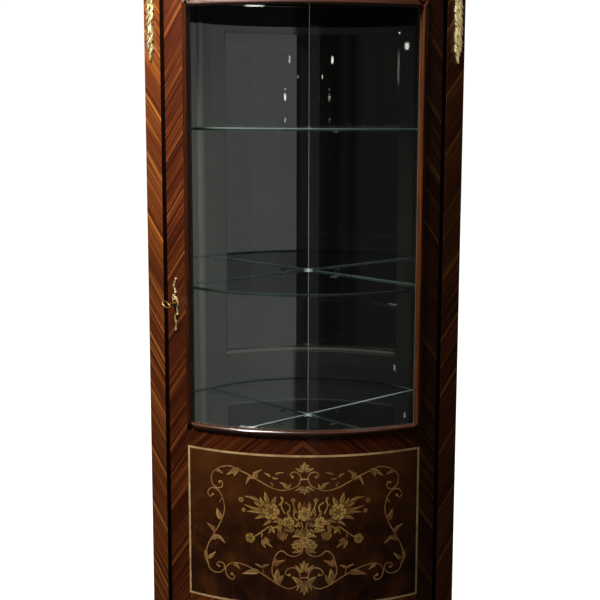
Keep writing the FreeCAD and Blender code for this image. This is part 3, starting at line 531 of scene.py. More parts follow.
def dress_wood():
    for *settings, nodes in VENEERS:
        dress(striped_veneer(*settings), *nodes)
    dress(panel_ground("panel_ground"), "door_lower_panel")
    for name, side, *settings in MOULDINGS:
        dress(plain_wood(name, *settings, MOULDING_BACK), "glazing_moulding_" + side)
    dress(lined_wood("lined_wood"), "left_reveal_strip", "right_reveal_strip", "left_mirror_bead",
          "right_mirror_bead", *GLASS_BEADS)
    dress(plain_wood("dark_wood", srgb(30, 13, 6), srgb(74, 34, 16), 0.3, 0.5),
          "left_foot", "right_foot", "rear_foot")
    dress(plain_wood("cornice_wood", srgb(54, 22, 9), srgb(120, 60, 28), 0.26, 0.6, "X"),
          "cornice_front", "cornice_left", "cornice_right", "top_panel")
    dress(plain_wood("inner_wood", srgb(70, 40, 20), srgb(120, 76, 42), 0.5, 0.1), "left_back_wall",
          "right_back_wall", "bottom_board", "top_board", "rear_block_lower", "rear_block_upper")


def dress_glass_and_metal():
    dress(pane_glass("door_pane"), "door_glass")
    for node, *settings in SHELVES:
        dress(shelf_glass(node + "_glass", *settings), node)
    dress(mirror_glass("mirror_glass"), "left_mirror", "right_mirror")
    dress(GILT, "left_chute", "right_chute", "left_sabot", "right_sabot", "escutcheon")
    dress(plain_metal("key_brass", srgb(176, 142, 84), 0.34), "key")
    dress(plain_metal("brass", srgb(196, 160, 92), 0.3), "lock_follower", "lock_bolt", "lock_case",
          "lock_strike", "upper_door_pivot", "lower_door_pivot", "upper_pivot_plate", "lower_pivot_plate")
    dress(plain_metal("steel", srgb(150, 150, 152), 0.35), "carcass_screws", "door_screws")
    dress(plain_metal("satin_nickel", srgb(106, 108, 106), 0.5, 0.25), "shelf_pins")


dress_wood()
dress_glass_and_metal()


# ---- Pieces made here ----
def new_object(name, data):
    made = bpy.data.objects.new(name, data)
    bpy.context.scene.collection.objects.link(made)
    return made


def add_piece(name, mesh, material, body):
    """A new piece that rides on a body and takes its finish from a slot."""
    mesh.materials.append(material)
    piece = new_object(name, mesh)
    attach(piece, body)
    return piece


def settle(work, mesh, smooth):
    """Turns a shape's faces outwards and moves it into a mesh."""
    bmesh.ops.recalc_face_normals(work, faces=work.faces)
    work.to_mesh(mesh)
    work.free()
    for polygon in mesh.polygons:
        polygon.use_smooth = smooth
    return mesh


def spline(points, steps=6):
    """A smooth line through points in the plane, with this many steps between each two."""
    p = [Vector(point) for point in points]
    p = [2 * p[0] - p[1]] + p + [2 * p[-1] - p[-2]]
    line = []
    for a, b, c, d in zip(p, p[1:], p[2:], p[3:]):
        for i in range(steps):
            t = i / steps
            line.append(0.5 * (2 * b + (c - a) * t + (2 * a - 5 * b + 4 * c - d) * t * t
                               + (3 * b - a - 3 * c + d) * t ** 3))
    line.append(p[-2])
    return line


def around(count, radius, turn=0.0):
    """Places evenly round a circle in the plane."""
    angles = [2 * pi * (i + turn) / count for i in range(count)]
    return [(radius * cos(angle), radius * sin(angle)) for angle in angles]


class Inlay:
    """Thin plates of wood let into the panel. Shapes are drawn in millimetres from its middle."""
    ACROSS = (-1.0, -0.5, 0.0, 0.5, 1.0)
    DEPTH = 0.0004

    def __init__(self):
        self.verts = []
        self.faces = []
        self.shade = []
        self.tone = []

    def point(self, place, lift, shade, tone):
        angle = OPENING_TURN + place[0] / 1000 / BOW_RADIUS
        self.verts.append(on_bow(BOW_RADIUS + lift, angle, PANEL_MIDDLE_Z + place[1] / 1000))
        self.shade.append(shade)
        self.tone.append(tone)
        return len(self.verts) - 1

    def strip(self, left, right, lift, tone, shade):
        """A closed plate between two lines; shade(along, across) gives its scorching, 0 to 1."""
        last = len(left) - 1
        rows = []
        for i, (a, b) in enumerate(zip(left, right)):
            row = [self.point(a.lerp(b, (c + 1) / 2), lift, shade(i / last, c), tone) for c in self.ACROSS]
            under = [self.point(end, lift - self.DEPTH, 1.0, tone) for end in (a, b)]
            rows.append((row, under))
        for (row, under), (next_row, next_under) in zip(rows, rows[1:]):
            for j in range(len(row) - 1):
                self.faces.append((row[j], next_row[j], next_row[j + 1], row[j + 1]))
            self.faces.append((row[0], under[0], next_under[0], next_row[0]))
            self.faces.append((row[-1], next_row[-1], next_under[1], under[1]))
            self.faces.append((under[0], under[1], next_under[1], next_under[0]))
        for (row, under), flip in ((rows[0], False), (rows[-1], True)):
            end = [*row, under[1], under[0]]
            self.faces.append(tuple(end[::-1] if flip else end))

    def blade(self, points, half_width, lift, tone=0.0, shade=None, steps=5):
        """A strip along a smooth line; half_width(along) gives its half width in millimetres."""
        line = spline(points, steps)
        left, right = [], []
        last = len(line) - 1
        for i, place in enumerate(line):
            ahead = line[min(i + 1, last)] - line[max(i - 1, 0)]
            side = Vector((-ahead.y, ahead.x)).normalized() * half_width(i / last)
            left.append(place + side)
            right.append(place - side)
        self.strip(left, right, lift, tone, shade or (lambda along, across: 0.0))

    def disc(self, centre, radius, lift, tone=0.0, shade=0.0, sides=14):
        middle = self.point(centre, lift, shade, tone)
        base = self.point(centre, lift - self.DEPTH, 1.0, tone)
        rim, under = [], []
        for x, y in around(sides, radius):
            place = (centre[0] + x, centre[1] + y)
            rim.append(self.point(place, lift, max(shade, 0.35), tone))
            under.append(self.point(place, lift - self.DEPTH, 1.0, tone))
        for i in range(sides):
            j = (i + 1) % sides
            self.faces += [(middle, rim[j], rim[i]), (rim[i], rim[j], under[j], under[i])]
            self.faces.append((base, under[i], under[j]))

    def add(self, name, material):
        """Makes the shapes one piece of the door."""
        mesh = bpy.data.meshes.new(name)
        mesh.from_pydata(self.verts, [], self.faces)
        for label, values in (("shade", self.shade), ("tone", self.tone)):
            mesh.attributes.new(label, "FLOAT", "POINT").data.foreach_set("value", values)
        work = bmesh.new()
        work.from_mesh(mesh)
        add_piece(name, settle(work, mesh, False), material, "door")


# ---- Stringing round the panel ----
STRING_WIDTH = 5.0  # millimetres
STRING_LIFT = 0.00012
STRING_STEPS = 40
STRING_SIDES = {
    # the way each strip runs, from corner to corner
    "top": [(-1, 1), (1, 1)],
    "bottom": [(1, -1), (-1, -1)],
    "left": [(-1, -1), (-1, 1)],
    "right": [(1, 1), (1, -1)],
}


def add_stringing():
    """Four strips, mitred at the corners and darker along their edges."""
    wide = FRAME_EDGE * BOW_RADIUS * 1000 + STRING_WIDTH / 2
    high = (PANEL_TOP - PANEL_BOTTOM) * 500 + STRING_WIDTH / 2
    for side, ends in STRING_SIDES.items():
        edges = []
        for inset in (0.0, STRING_WIDTH):
            a, b = (Vector((x * (wide - inset), y * (high - inset))) for x, y in ends)
            edges.append([a.lerp(b, i / STRING_STEPS) for i in range(STRING_STEPS + 1)])
        made = Inlay()
        made.strip(*edges, STRING_LIFT, 0.0, lambda along, across: 0.25 if abs(across) > 0.9 else 0.0)
        made.add("stringing_" + side, BOXWOOD)


BOXWOOD = inlay_wood("boxwood", srgb(255, 218, 156), srgb(220, 170, 110), srgb(110, 66, 28))
SCROLL_WOOD = inlay_wood("scroll_boxwood", srgb(244, 200, 118), srgb(196, 130, 88), srgb(84, 44, 16))
HOLLY = inlay_wood("shaded_holly", srgb(255, 210, 118), srgb(186, 122, 70), srgb(74, 36, 12))
add_stringing()

# ---- Marquetry: scrolls, leaves and a bouquet, the same on both sides of the middle ----
INLAY_SHIFT = 4.0  # the marquetry's middle lies this far right of the panel's, millimetres
# how far a shape stands off the panel, so that some lie over others, and the smallest step between them
LOW, LEVEL, HIGH = 0.00016, 0.0002, 0.00024
FINE = 0.00002
SCROLLS = [
    # places from the middle of the marquetry, millimetres, left half
    [(-26, 125), (-31, 128), (-25, 135), (-14, 133), (-8, 122), (-14, 105), (-32, 96), (-50, 93), (-69, 97),
     (-87, 105), (-119, 122), (-150, 134), (-170, 140), (-195, 133), (-213, 117), (-212, 95), (-198, 86),
     (-187, 92), (-188, 103), (-195, 102)],
    [(-212, 70), (-218, 64), (-224, 72), (-217, 83), (-203, 84), (-189, 71), (-182, 45), (-188, 17),
     (-208, -20), (-225, -50), (-229, -74), (-222, -102), (-204, -111), (-186, -103), (-184, -89),
     (-196, -85), (-203, -92), (-197, -96)],
    [(-165, -110), (-158, -113), (-163, -121), (-176, -115), (-180, -97), (-167, -84), (-146, -82),
     (-117, -90), (-87, -105), (-56, -124), (-33, -132), (-14, -122), (-9, -100), (-19, -84), (-35, -86),
     (-42, -97), (-34, -102)],
    [(-3, -36), (-6, -48), (-21, -57), (-36, -54), (-49, -45), (-62, -54), (-70, -77), (-71, -98),
     (-62, -119)],
]
SCROLL_DOTS = [(-26, 124), (-194, 101), (-211, 70), (-197, -95), (-165, -109), (-33, -100)]
DOT_RADIUS = 3.3
LEAVES = [
    # base, belly, tip, width in millimetres
    ((-206, 127), (-196, 126), (-185, 120), 7), ((-143, 134), (-158, 131), (-176, 119), 11),
    ((-150, 132), (-155, 126), (-158, 118), 8), ((-104, 115), (-108, 128), (-94, 138), 8),
    ((-104, 115), (-110, 122), (-113, 131), 9), ((-106, 116), (-122, 119), (-131, 101), 8),
    ((-74, 122), (-80, 127), (-88, 131), 5), ((-72, 122), (-65, 119), (-57, 120), 4),
    ((-66, 129), (-56, 132), (-45, 134), 4), ((-70, 101), (-71, 106), (-75, 111), 3),
    ((-40, 96), (-43, 106), (-54, 111), 8), ((-40, 96), (-34, 101), (-29, 109), 7),
    ((-187, 14), (-196, 24), (-201, 39), 13), ((-187, 66), (-190, 60), (-195, 53), 3),
    ((-206, -18), (-212, -8), (-227, 1), 10), ((-214, -36), (-199, -26), (-181, -39), 9),
    ((-226, -82), (-216, -74), (-205, -63), 9), ((-230, -60), (-231, -78), (-223, -97), 9),
    ((-163, -83), (-156, -86), (-145, -95), 8), ((-99, -97), (-117, -98), (-139, -105), 13),
    ((-94, -87), (-101, -82), (-111, -79), 6), ((-94, -87), (-88, -82), (-78, -79), 6),
    ((-90, -101), (-92, -94), (-94, -87), 2), ((-67, -82), (-58, -73), (-42, -66), 10),
    ((-67, -82), (-64, -72), (-62, -64), 8), ((-53, -122), (-60, -106), (-59, -87), 17),
    ((-54, -118), (-50, -108), (-46, -100), 8), ((-11, -121), (-16, -112), (-27, -104), 11),
]
PALMETTES = [
    # base height, tip height, height of the side tips, their reach, width
    (138, 158, 143, 20, 12), (100, 84, 93, 21, 11), (-90, -66, -77, 20, 12), (-117, -147, -136, 17, 13),
]
TIES = [119, -106]  # heights
BOUQUET_LEAVES = [
    ((-80, 60), (-84, 74), (-87, 88), 11), ((-72, 60), (-67, 68), (-63, 78), 10),
    ((-88, 56), (-94, 64), (-98, 75), 9), ((-97, 63), (-114, 72), (-135, 75), 7),
    ((-92, 52), (-104, 59), (-112, 64), 6), ((-90, 48), (-112, 49), (-136, 56), 5),
    ((-90, 40), (-108, 42), (-128, 40), 7), ((-88, 32), (-98, 31), (-110, 25), 8),
    ((-72, 22), (-81, 19), (-91, 11), 7), ((-48, 21), (-58, 23), (-70, 20), 8),
    ((-48, 6), (-58, 10), (-70, 6), 8), ((-78, 9), (-72, 5), (-66, -5), 10),
    ((-78, 9), (-76, 0), (-80, -7), 5), ((-96, -5), (-94, -11), (-96, -18), 4),
    ((-92, -19), (-84, -27), (-71, -38), 9), ((-92, -19), (-92, -30), (-86, -41), 8),
    ((-90, -18), (-84, -19), (-76, -24), 6), ((0, -14), (-12, -8), (-27, -12), 11),
    ((0, -18), (-12, -22), (-24, -24), 9), ((0, -12), (0, -4), (0, 8), 10),
    ((-6, -40), (-14, -45), (-26, -48), 7), ((-21, 40), (-20, 50), (-25, 60), 5),
    ((-12, 50), (-12, 56), (-14, 64), 5), ((-62, 30), (-56, 26), (-50, 28), 7),
    ((-30, 34), (-36, 40), (-37, 48), 6), ((-12, 20), (-17, 14), (-26, 12), 7),
    ((-10, 4), (-16, 2), (-22, -4), 6), ((-16, 24), (-12, 18), (-10, 10), 5),
    ((-34, 8), (-38, 12), (-46, 14), 6), ((-6, 56), (-10, 62), (-10, 68), 5),
    ((-58, 60), (-52, 62), (-46, 70), 5), ((-60, 6), (-54, 0), (-56, -8), 7),
    ((0, -30), (-6, -38), (-8, -46), 8), ((-14, -24), (-22, -30), (-30, -30), 7),
    ((-2, -4), (-8, -2), (-13, 3), 6), ((0, 54), (0, 60), (0, 70), 6), ((-30, -2), (-40, 4), (-46, 2), 6),
    ((-8, 30), (-18, 28), (-24, 36), 5),
]
STROKES = [
    [(-47, 75), (-51, 58), (-43, 40)],
    [(-43, 67), (-32, 58), (-34, 44)],
    [(-7, 22), (-4, 9), (-11, -2), (-21, -8)],
    [(-78, 10), (-96, -5), (-110, -15)],
    [(-25, 66), (-22, 50), (-24, 36)],
]
BUDS = [((-142, 66), 6.0), ((-136, 43), 5.0), ((-25, 71), 5.0), ((-21, 46), 4.6), ((-50, 76), 3.0)]
TULIPS = [
    ((-45, 0), (-50, -10), (-47, -22)), ((-52, -2), (-55, -10), (-52, -20)),
    ((-40, -2), (-42, -9), (-42, -19)),
]
FLOWERS = [
    # middle, radius, petals
    ((-74, 44), 19, 6), ((-35, 21), 13, 5), ((-121, -20), 11, 5), ((-19, -33), 8, 5), ((-6, -31), 7, 5),
    ((-52, 20), 6, 5), ((-28, 4), 6, 5),
]
MIDDLE_FLOWERS = [((1, 40), 16, 7), ((0, -20), 9, 6)]


def leaf_profile(half):
    return lambda along: half * (0.12 + sin(pi * along ** 0.75) ** 0.9 * 0.95 * (1.0 - 0.25 * along))


def petal_profile(half):
    """Widest past its middle, with a blunt end."""
    def profile(along):
        belly = 0.35 + 0.65 * sin(pi * min(1.0, along * 0.62 + 0.08))
        return half * belly * (1.0 if along < 0.85 else 0.8)
    return profile


def stem_profile(along):
    return 1.0 + 0.4 * sin(pi * along * 3) ** 2


def leaf_shade(along, across):
    """Scorched at the base and along the rib."""
    rib = 0.7 if abs(across) < 0.25 and along < 0.8 else 0.0
    return max(rib, 0.8 - 2.2 * along, 0.38 if across > 0.25 else 0.0)


def petal_shade(along, across):
    return min(1.0, max(0.0, 1.1 - 2.0 * along) + (0.9 if abs(across) > 0.9 else 0.0))


class Marquetry:
    """Draws each shape on the left and mirrored on the right, in two kinds of wood."""

    def __init__(self):
        self.scrolls = Inlay()
        self.flowers = Inlay()
        self.chance = random.Random(12)

    def both(self, points):
        yield [(x + INLAY_SHIFT, y) for x, y in points]
        yield [(INLAY_SHIFT - x, y) for x, y in points]

    def leaf(self, target, base, belly, tip, width, lift):
        for points in self.both([base, belly, tip]):
            target.blade(points, leaf_profile(width / 2), lift, self.chance.uniform(0.0, 0.8), leaf_shade)

    def flower(self, centre, radius, petals, lift):
        """Petals in two rings round a dark eye, and a ring of dots."""
        for reach, inner, turn in ((1.0, 0.35, 0.0), (0.66, 0.2, 0.5)):
            profile = petal_profile(radius * reach * sin(pi / petals) * 0.98)
            for way in around(petals, 1.0, turn):
                way = Vector(way) * radius
                points = [Vector(centre) + way * k for k in (inner, (inner + reach) / 2, reach)]
                tone = self.chance.uniform(0.0, 0.5)
                self.flowers.blade(points, profile, lift, tone, petal_shade, 4)
            lift += 2 * FINE
        self.flowers.disc(centre, radius * 0.22, lift, 0.6, 0.55)
        for x, y in around(petals, radius * 0.3):
            self.flowers.disc((centre[0] + x, centre[1] + y), radius * 0.055, lift + FINE, 0.0, 0.0, 8)

    def palmette(self, base, tip, side, reach, width):
        """Two leaves on each side of an upright one."""
        rise = 1 if tip > base else -1
        half_way = (base + tip) / 2
        outer = [(0, base), (-reach * 0.45, base + rise * 1.5), (-reach, side)]
        inner = [(0, base), (-reach * 0.3, half_way), (-reach * 0.5, (side + tip) / 2)]
        for leaf, share, lift, tone in ((outer, 0.36, LEVEL, 0.2), (inner, 0.28, LEVEL + FINE, 0.35)):
            for points in self.both(leaf):
                self.scrolls.blade(points, leaf_profile(width * share), lift, tone, leaf_shade)
        middle = [(INLAY_SHIFT, base), (INLAY_SHIFT, half_way), (INLAY_SHIFT, tip)]
        self.scrolls.blade(middle, leaf_profile(width / 2), HIGH, 0.0, leaf_shade)


def draw_scrolls(work):
    for points in SCROLLS:
        for line in work.both(points):
            work.scrolls.blade(line, stem_profile, LOW, 0.7)
    for (place,) in (side for centre in SCROLL_DOTS for side in work.both([centre])):
        work.scrolls.disc(place, DOT_RADIUS, LEVEL, 0.1)
    for leaf in LEAVES:
        work.leaf(work.scrolls, *leaf, LEVEL)
    for palmette in PALMETTES:
        work.palmette(*palmette)
    for height in TIES:
        line = [(INLAY_SHIFT + x, height) for x in (-9, 0, 9)]
        work.scrolls.blade(line, lambda along: 1.5, LEVEL, 0.2, None, 6)


def draw_bouquet(work):
    for leaf in BOUQUET_LEAVES:
        work.leaf(work.flowers, *leaf, LOW)
    for points in STROKES:
        for line in work.both(points):
            work.flowers.blade(line, lambda along: 1.3, LOW, 0.3)
    for points in TULIPS:
        for line in work.both(points):
            work.flowers.blade(line, leaf_profile(5.5), LEVEL, work.chance.uniform(0.3, 0.9), leaf_shade)
    for centre, radius in BUDS:
        for (place,) in work.both([centre]):
            work.flowers.disc(place, radius, LEVEL, work.chance.uniform(0.1, 0.6), 0.0)
            work.flowers.disc(place, radius * 0.45, HIGH, 0.9, 0.4, 10)
    for centre, radius, petals in FLOWERS:
        for (place,) in work.both([centre]):
            work.flower(place, radius, petals, HIGH)
    for centre, radius, petals in MIDDLE_FLOWERS:
        work.flower((centre[0] + INLAY_SHIFT, centre[1]), radius, petals, HIGH + FINE)


def add_marquetry():
    work = Marquetry()
    draw_scrolls(work)
    draw_bouquet(work)
    work.scrolls.add("marquetry_scrolls", SCROLL_WOOD)
    work.flowers.add("marquetry_bouquet", HOLLY)


add_marquetry()


# ---- Bronze drops on the canted stiles ----
BUNCHES = [
    # end of each bunch below the chute's top, and its half width
    (0.040, 0.0108), (0.076, 0.0104), (0.117, 0.0090), (0.146, 0.0080), (0.169, 0.0070), (0.194, 0.0064),
]
LEAF_STEP = 0.0066
LEAF_LENGTH = 0.023
LEAF_HALF = 0.0033
LAST_LEAF = 0.040  # the long drop at the end
CHUTE_SHIFT = 0.0030  # towards the room wall, from the middle of the face


class Relief:
    """Cast leaves on a canted face: a is across it (outwards positive), out is off it, z is height."""
    ROWS = 7
    COLUMNS = 6

    def __init__(self, side):
        self.side = side
        self.work = bmesh.new()

    def vert(self, a, out, z):
        s = WALL_LENGTH + out
        d = CANTED_WIDTH / 2 - CHUTE_SHIFT - a
        return self.work.verts.new((self.side * (s - d) / ROOT2, REAR_Y - (s + d) / ROOT2, z))

    def leaf(self, top, length, half, root, turn, start, rise):
        """One ribbed leaf that hangs from a height and stands off further towards its tip.

        root is its offset across at the top, turn leans it sideways."""
        grid, back = [], []
        for i in range(self.ROWS + 1):
            s = i / self.ROWS
            wide = half * (0.55 + 0.55 * sin(pi * s ** 0.9)) * (1.0 - 0.90 * s ** 7)
            centre = root + turn * length * s ** 1.3
            crest = start + rise * s ** 1.2
            z = top - length * s
            line = []
            for j in range(self.COLUMNS + 1):
                t = 2 * j / self.COLUMNS - 1
                out = max(0.0003, crest * (1 - 0.45 * t * t) + 0.0011 * cos(pi * t) * (1.0 - 0.6 * s))
                line.append(self.vert(centre + wide * t, out, z + 0.25 * wide * abs(t)))
            grid.append(line)
            back.append([self.vert(centre + wide * k * 0.96, 0.0, z) for k in (-1, 1)])
        self.close(grid, back)

    def close(self, grid, back):
        """Faces over the leaf's front, its edges, its back and its ends."""
        add = self.work.faces.new
        for a, b, c, d in zip(grid, grid[1:], back, back[1:]):
            for j in range(self.COLUMNS):
                add((a[j], b[j], b[j + 1], a[j + 1]))
            add((a[0], c[0], d[0], b[0]))
            add((a[-1], b[-1], d[1], c[1]))
            add((c[0], c[1], d[1], d[0]))
        add([*grid[0], back[0][1], back[0][0]])
        add([*reversed(grid[-1]), back[-1][0], back[-1][1]])


def bunch_half(depth):
    """Half width of the drop at a depth: each bunch narrows towards its end."""
    start = 0.0
    for end, half in BUNCHES:
        if depth < end:
            return half * (1.0 - 0.22 * ((depth - start) / (end - start)) ** 2)
        start = end
    return BUNCHES[-1][1]


def add_chute(side, node):
    """Rows of leaves that overlap like shingles, then one long drop."""
    relief = Relief(side)
    chance = random.Random(7)
    rows = int((CHUTE_LENGTH - LAST_LEAF) / LEAF_STEP)
    for i in range(rows):
        depth = i * LEAF_STEP
        reach = bunch_half(depth) - LEAF_HALF
        count = 4 - i % 2
        for j in range(count):
            at = (2 * j / (count - 1) - 1) * (1.0 if i % 2 == 0 else 0.67)
            start = 0.0018 + 0.0036 * (1.0 - abs(at))
            top = CHUTE_TOP - depth + (chance.uniform(-0.003, 0.0) if i else 0.0)
            length = LEAF_LENGTH * chance.uniform(0.85, 1.1)
            turn = 0.20 * at + chance.uniform(-0.22, 0.22)
            relief.leaf(top, length, LEAF_HALF, at * reach, turn, start, chance.uniform(0.0030, 0.0056))
    tail = CHUTE_TOP - rows * LEAF_STEP
    for way in (-1, 1):
        relief.leaf(tail + 0.004, 0.030, 0.0034, way * 0.0028, way * 0.05, 0.001, 0.0042)
    relief.leaf(tail, tail - (CHUTE_TOP - CHUTE_LENGTH), 0.0052, 0.0, 0.0, 0.0030, 0.0030)
    mesh = settle(relief.work, bpy.data.meshes.new(node + "_cast"), True)
    piece = add_piece(node + "_cast", mesh, GILT, "carcass")
    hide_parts(node)


add_chute(-1, "left_chute")
add_chute(1, "right_chute")

# ---- Key plate: scrolls, bars and beads cast in one ----
PLATE_BARS = [
    # places from the keyhole (right, up) and half thickness, all millimetres
    ([(2, 53), (-1, 47), (-4, 40), (-3, 33)], 2.0),
    ([(-3, 33), (0, 27), (-1, 21), (-6, 16)], 1.8),
    ([(-6, 16), (0, 13), (4, 8), (6, 1), (5, -3)], 2.4),
    ([(-3, 10), (-6, 5), (-9, 2)], 2.0),
    ([(5, -3), (4, -10), (5, -18), (5, -24)], 1.6),
    ([(5, -24), (0, -27), (-2, -32), (-1, -38), (2, -42)], 2.0),
    ([(2, -42), (1, -50), (0, -58)], 1.8),
    ([(-6, 16), (-9, 12), (-7, 8), (-3, 10)], 1.5),
    ([(4, 8), (0, 2), (-3, 10)], 1.3),
]
PLATE_BEADS = [
    # right, up, radius
    (2, 54, 3.2), (-4, 39, 2.8), (0, 24, 3.4), (-3, 9, 3.0), (6, 0, 2.6), (5, -24, 3.6), (1, -42, 3.2),
    (0, -59, 3.0), (0, -55, 2.5), (-6, 17, 2.8),
]
KEYHOLE_RING = 8.4  # millimetres
KEYHOLE_STEPS = 28


def on_plate(right, up, off):
    """A point off the door's face, from the keyhole in millimetres."""
    return on_bow(BOW_RADIUS + off, KEY_ANGLE + right / 1000 / BOW_RADIUS, KEY_Z + up / 1000)


def tube(work, points, radii, sides=10):
    """A closed round bar through points, with a radius at each."""
    rings = []
    last = len(points) - 1
    for i, (place, radius) in enumerate(zip(points, radii)):
        ahead = (points[min(i + 1, last)] - points[max(i - 1, 0)]).normalized()
        out = (place - Vector((0, BOW_Y, place.z))).normalized()
        side = ahead.cross(out).normalized()
        out = side.cross(ahead)
        rings.append([work.verts.new(place + radius * (side * c + out * s)) for c, s in around(sides, 1.0)])
    for a, b in zip(rings, rings[1:]):
        for k in range(sides):
            work.faces.new((a[k], a[(k + 1) % sides], b[(k + 1) % sides], b[k]))
    work.faces.new(rings[0][::-1])
    work.faces.new(rings[-1])


def add_key_plate():
    work = bmesh.new()
    for points, half in PLATE_BARS:
        line = spline(points, 5)
        last = len(line) - 1
        radii = [half / 1000 * (0.8 + 0.4 * sin(pi * i / last)) for i in range(last + 1)]
        tube(work, [on_plate(p.x, p.y, 0.0014) for p in line], radii)
    for right, up, radius in PLATE_BEADS:
        bead = bmesh.ops.create_uvsphere(work, u_segments=14, v_segments=9, radius=radius / 1000)
        for vert in bead["verts"]:
            vert.co += on_plate(right, up, 0.0016)
    turns = [2 * pi * i / KEYHOLE_STEPS for i in range(KEYHOLE_STEPS + 1)]
    ring = [on_plate(KEYHOLE_RING * cos(turn), KEYHOLE_RING * sin(turn), 0.0016) for turn in turns]
    tube(work, ring, [0.0012] * len(ring), 8)
    bmesh.ops.remove_doubles(work, verts=work.verts, dist=0.00001)
    mesh = settle(work, bpy.data.meshes.new("key_plate_cast"), True)
    piece = add_piece("key_plate_cast", mesh, GILT, "door")
    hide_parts("escutcheon")


add_key_plate()

# ---- Camera ----
CAMERA_PLACE = Vector((0.0996, FRONT_LINE_Y - 2.6346, 1.3549))
CAMERA_PITCH = 0.1552  # radians below level
CAMERA_YAW = 0.0151  # radians to the left of straight ahead
CAMERA_ROLL = 0.0061
FOCAL_PIXELS = 1181.8
FRAME_PIXELS = 600.0
MIDDLE_PIXELS = 30.0  # the lens axis meets the picture this far right of its middle


def add_camera():
    data = bpy.data.cameras.new("camera")
    data.sensor_width = 36.0
    data.lens = FOCAL_PIXELS / FRAME_PIXELS * data.sensor_width
    data.shift_x = -MIDDLE_PIXELS / FRAME_PIXELS
    camera = new_object("camera", data)
    turn = Matrix.Rotation(CAMERA_YAW, 4, "Z") @ Matrix.Rotation(pi / 2 - CAMERA_PITCH, 4, "X")
    camera.matrix_world = Matrix.Translation(CAMERA_PLACE) @ turn @ Matrix.Rotation(CAMERA_ROLL, 4, "Z")
    bpy.context.scene.camera = camera


add_camera()


# ---- Light and floor ----
def add_area(name, place, target, width, height, power, color=(1.0, 1.0, 1.0)):
    data = bpy.data.lights.new(name, "AREA")
    data.shape = "RECTANGLE"
    data.size, data.size_y = width, height
    data.energy = power
    data.color = color
    lamp = new_object(name, data)
    lamp.location = place
    lamp.rotation_euler = (Vector(target) - Vector(place)).to_track_quat("-Z", "Y").to_euler()
    return lamp


def group_of(name, pieces):
    group = bpy.data.collections.new(name)
    for piece in pieces:
        group.objects.link(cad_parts.get(piece) or bpy.data.objects[piece])
    return group


def leave_out(lamp, *pieces):
    """The lamp lights everything but these pieces."""
    group = group_of(lamp.name + "_left_out", pieces)
    for item in group.collection_objects:
        item.light_linking.link_state = "EXCLUDE"
    lamp.light_linking.receiver_collection = group


def light_only(lamp, *pieces):
    """The lamp lights only these pieces, and isn't seen itself."""
    lamp.light_linking.receiver_collection = group_of(lamp.name + "_receivers", pieces)
    lamp.visible_camera = False
    lamp.visible_glossy = False
    lamp.visible_transmission = False


SCREEN_LEFT = 0.044  # the grey screen in the room, sideways and up per unit ahead
SCREEN_RIGHT = 0.136
SCREEN_TOP = 0.0735
GLINTS = [
    # small distant lamps that the pane mirrors: sideways per unit ahead, up per unit of level distance,
    # half of each size, strength
    (-0.550, 0.0885, 0.140, 0.0008, 12.0),
    (-0.200, 0.0147, 0.012, 0.0035, 10.0),
    (-0.200, 0.0212, 0.007, 0.0010, 4.0),
    (-0.200, -0.0043, 0.009, 0.0020, 4.5),
    (0.263, 0.0452, 0.014, 0.0035, 11.0),
    (0.163, 0.0313, 0.008, 0.0019, 6.0),
    (1.621, 0.0568, 0.097, 0.0034, 8.0),
    (1.337, 0.0389, 0.029, 0.0156, 1.4),
    (1.350, -0.2152, 0.029, 0.0031, 3.0),
    (1.773, -0.2567, 0.044, 0.0026, 3.0),
]


def near(t, value, middle, half):
    """1 within half a size of the middle, fading at its edge."""
    return t.span(t.size(t.minus(value, middle)), 0.5 * half, half, 1.0, 0.0)


def add_world():
    """White to the camera; to everything else a dim room with a grey screen low in front on the right."""
    world = bpy.data.worlds.new("studio")
    bpy.context.scene.world = world
    t = Tree(world)
    x, y, z = t.parts(t.node("TexCoord").outputs["Generated"])
    ahead = t.math("MAXIMUM", t.times(y, -1.0), 0.001)
    sideways = t.math("DIVIDE", x, ahead)
    rise = t.math("DIVIDE", z, ahead)
    level = t.math("DIVIDE", z, t.math("SQRT", t.minus(1.0, t.times(z, z))))
    in_front = t.below(y, -0.2)
    screen = t.times(t.above(sideways, SCREEN_LEFT), t.below(sideways, SCREEN_RIGHT))
    screen = t.times(t.times(screen, t.below(rise, SCREEN_TOP)), in_front)
    streaks = t.noise(t.vector((sideways, 34.0), (rise, 1.2), 5.0), detail=2.0)
    dark = t.mix(t.span(streaks, 0.35, 0.7), srgb(5, 5, 4), srgb(27, 26, 24))
    dark = t.mix(t.span(sideways, -0.004, -0.012, 0.0, 0.7), dark, srgb(30, 30, 29))
    room = t.mix(screen, dark, srgb(85, 86, 87))
    for across, up, half_wide, half_high, power in GLINTS:
        spot = t.times(near(t, sideways, across, half_wide), near(t, level, up, half_high))
        room = t.mix(t.times(spot, in_front), room, (power, power, 0.94 * power))
    seen = t.node("Background", {"Color": (1.0, 1.0, 1.0), "Strength": 1.05}).outputs[0]
    felt = t.node("Background", {"Color": room, "Strength": 1.0}).outputs[0]
    camera_ray = t.node("LightPath").outputs["Is Camera Ray"]
    t.end(t.blend(camera_ray, felt, seen), "OutputWorld")


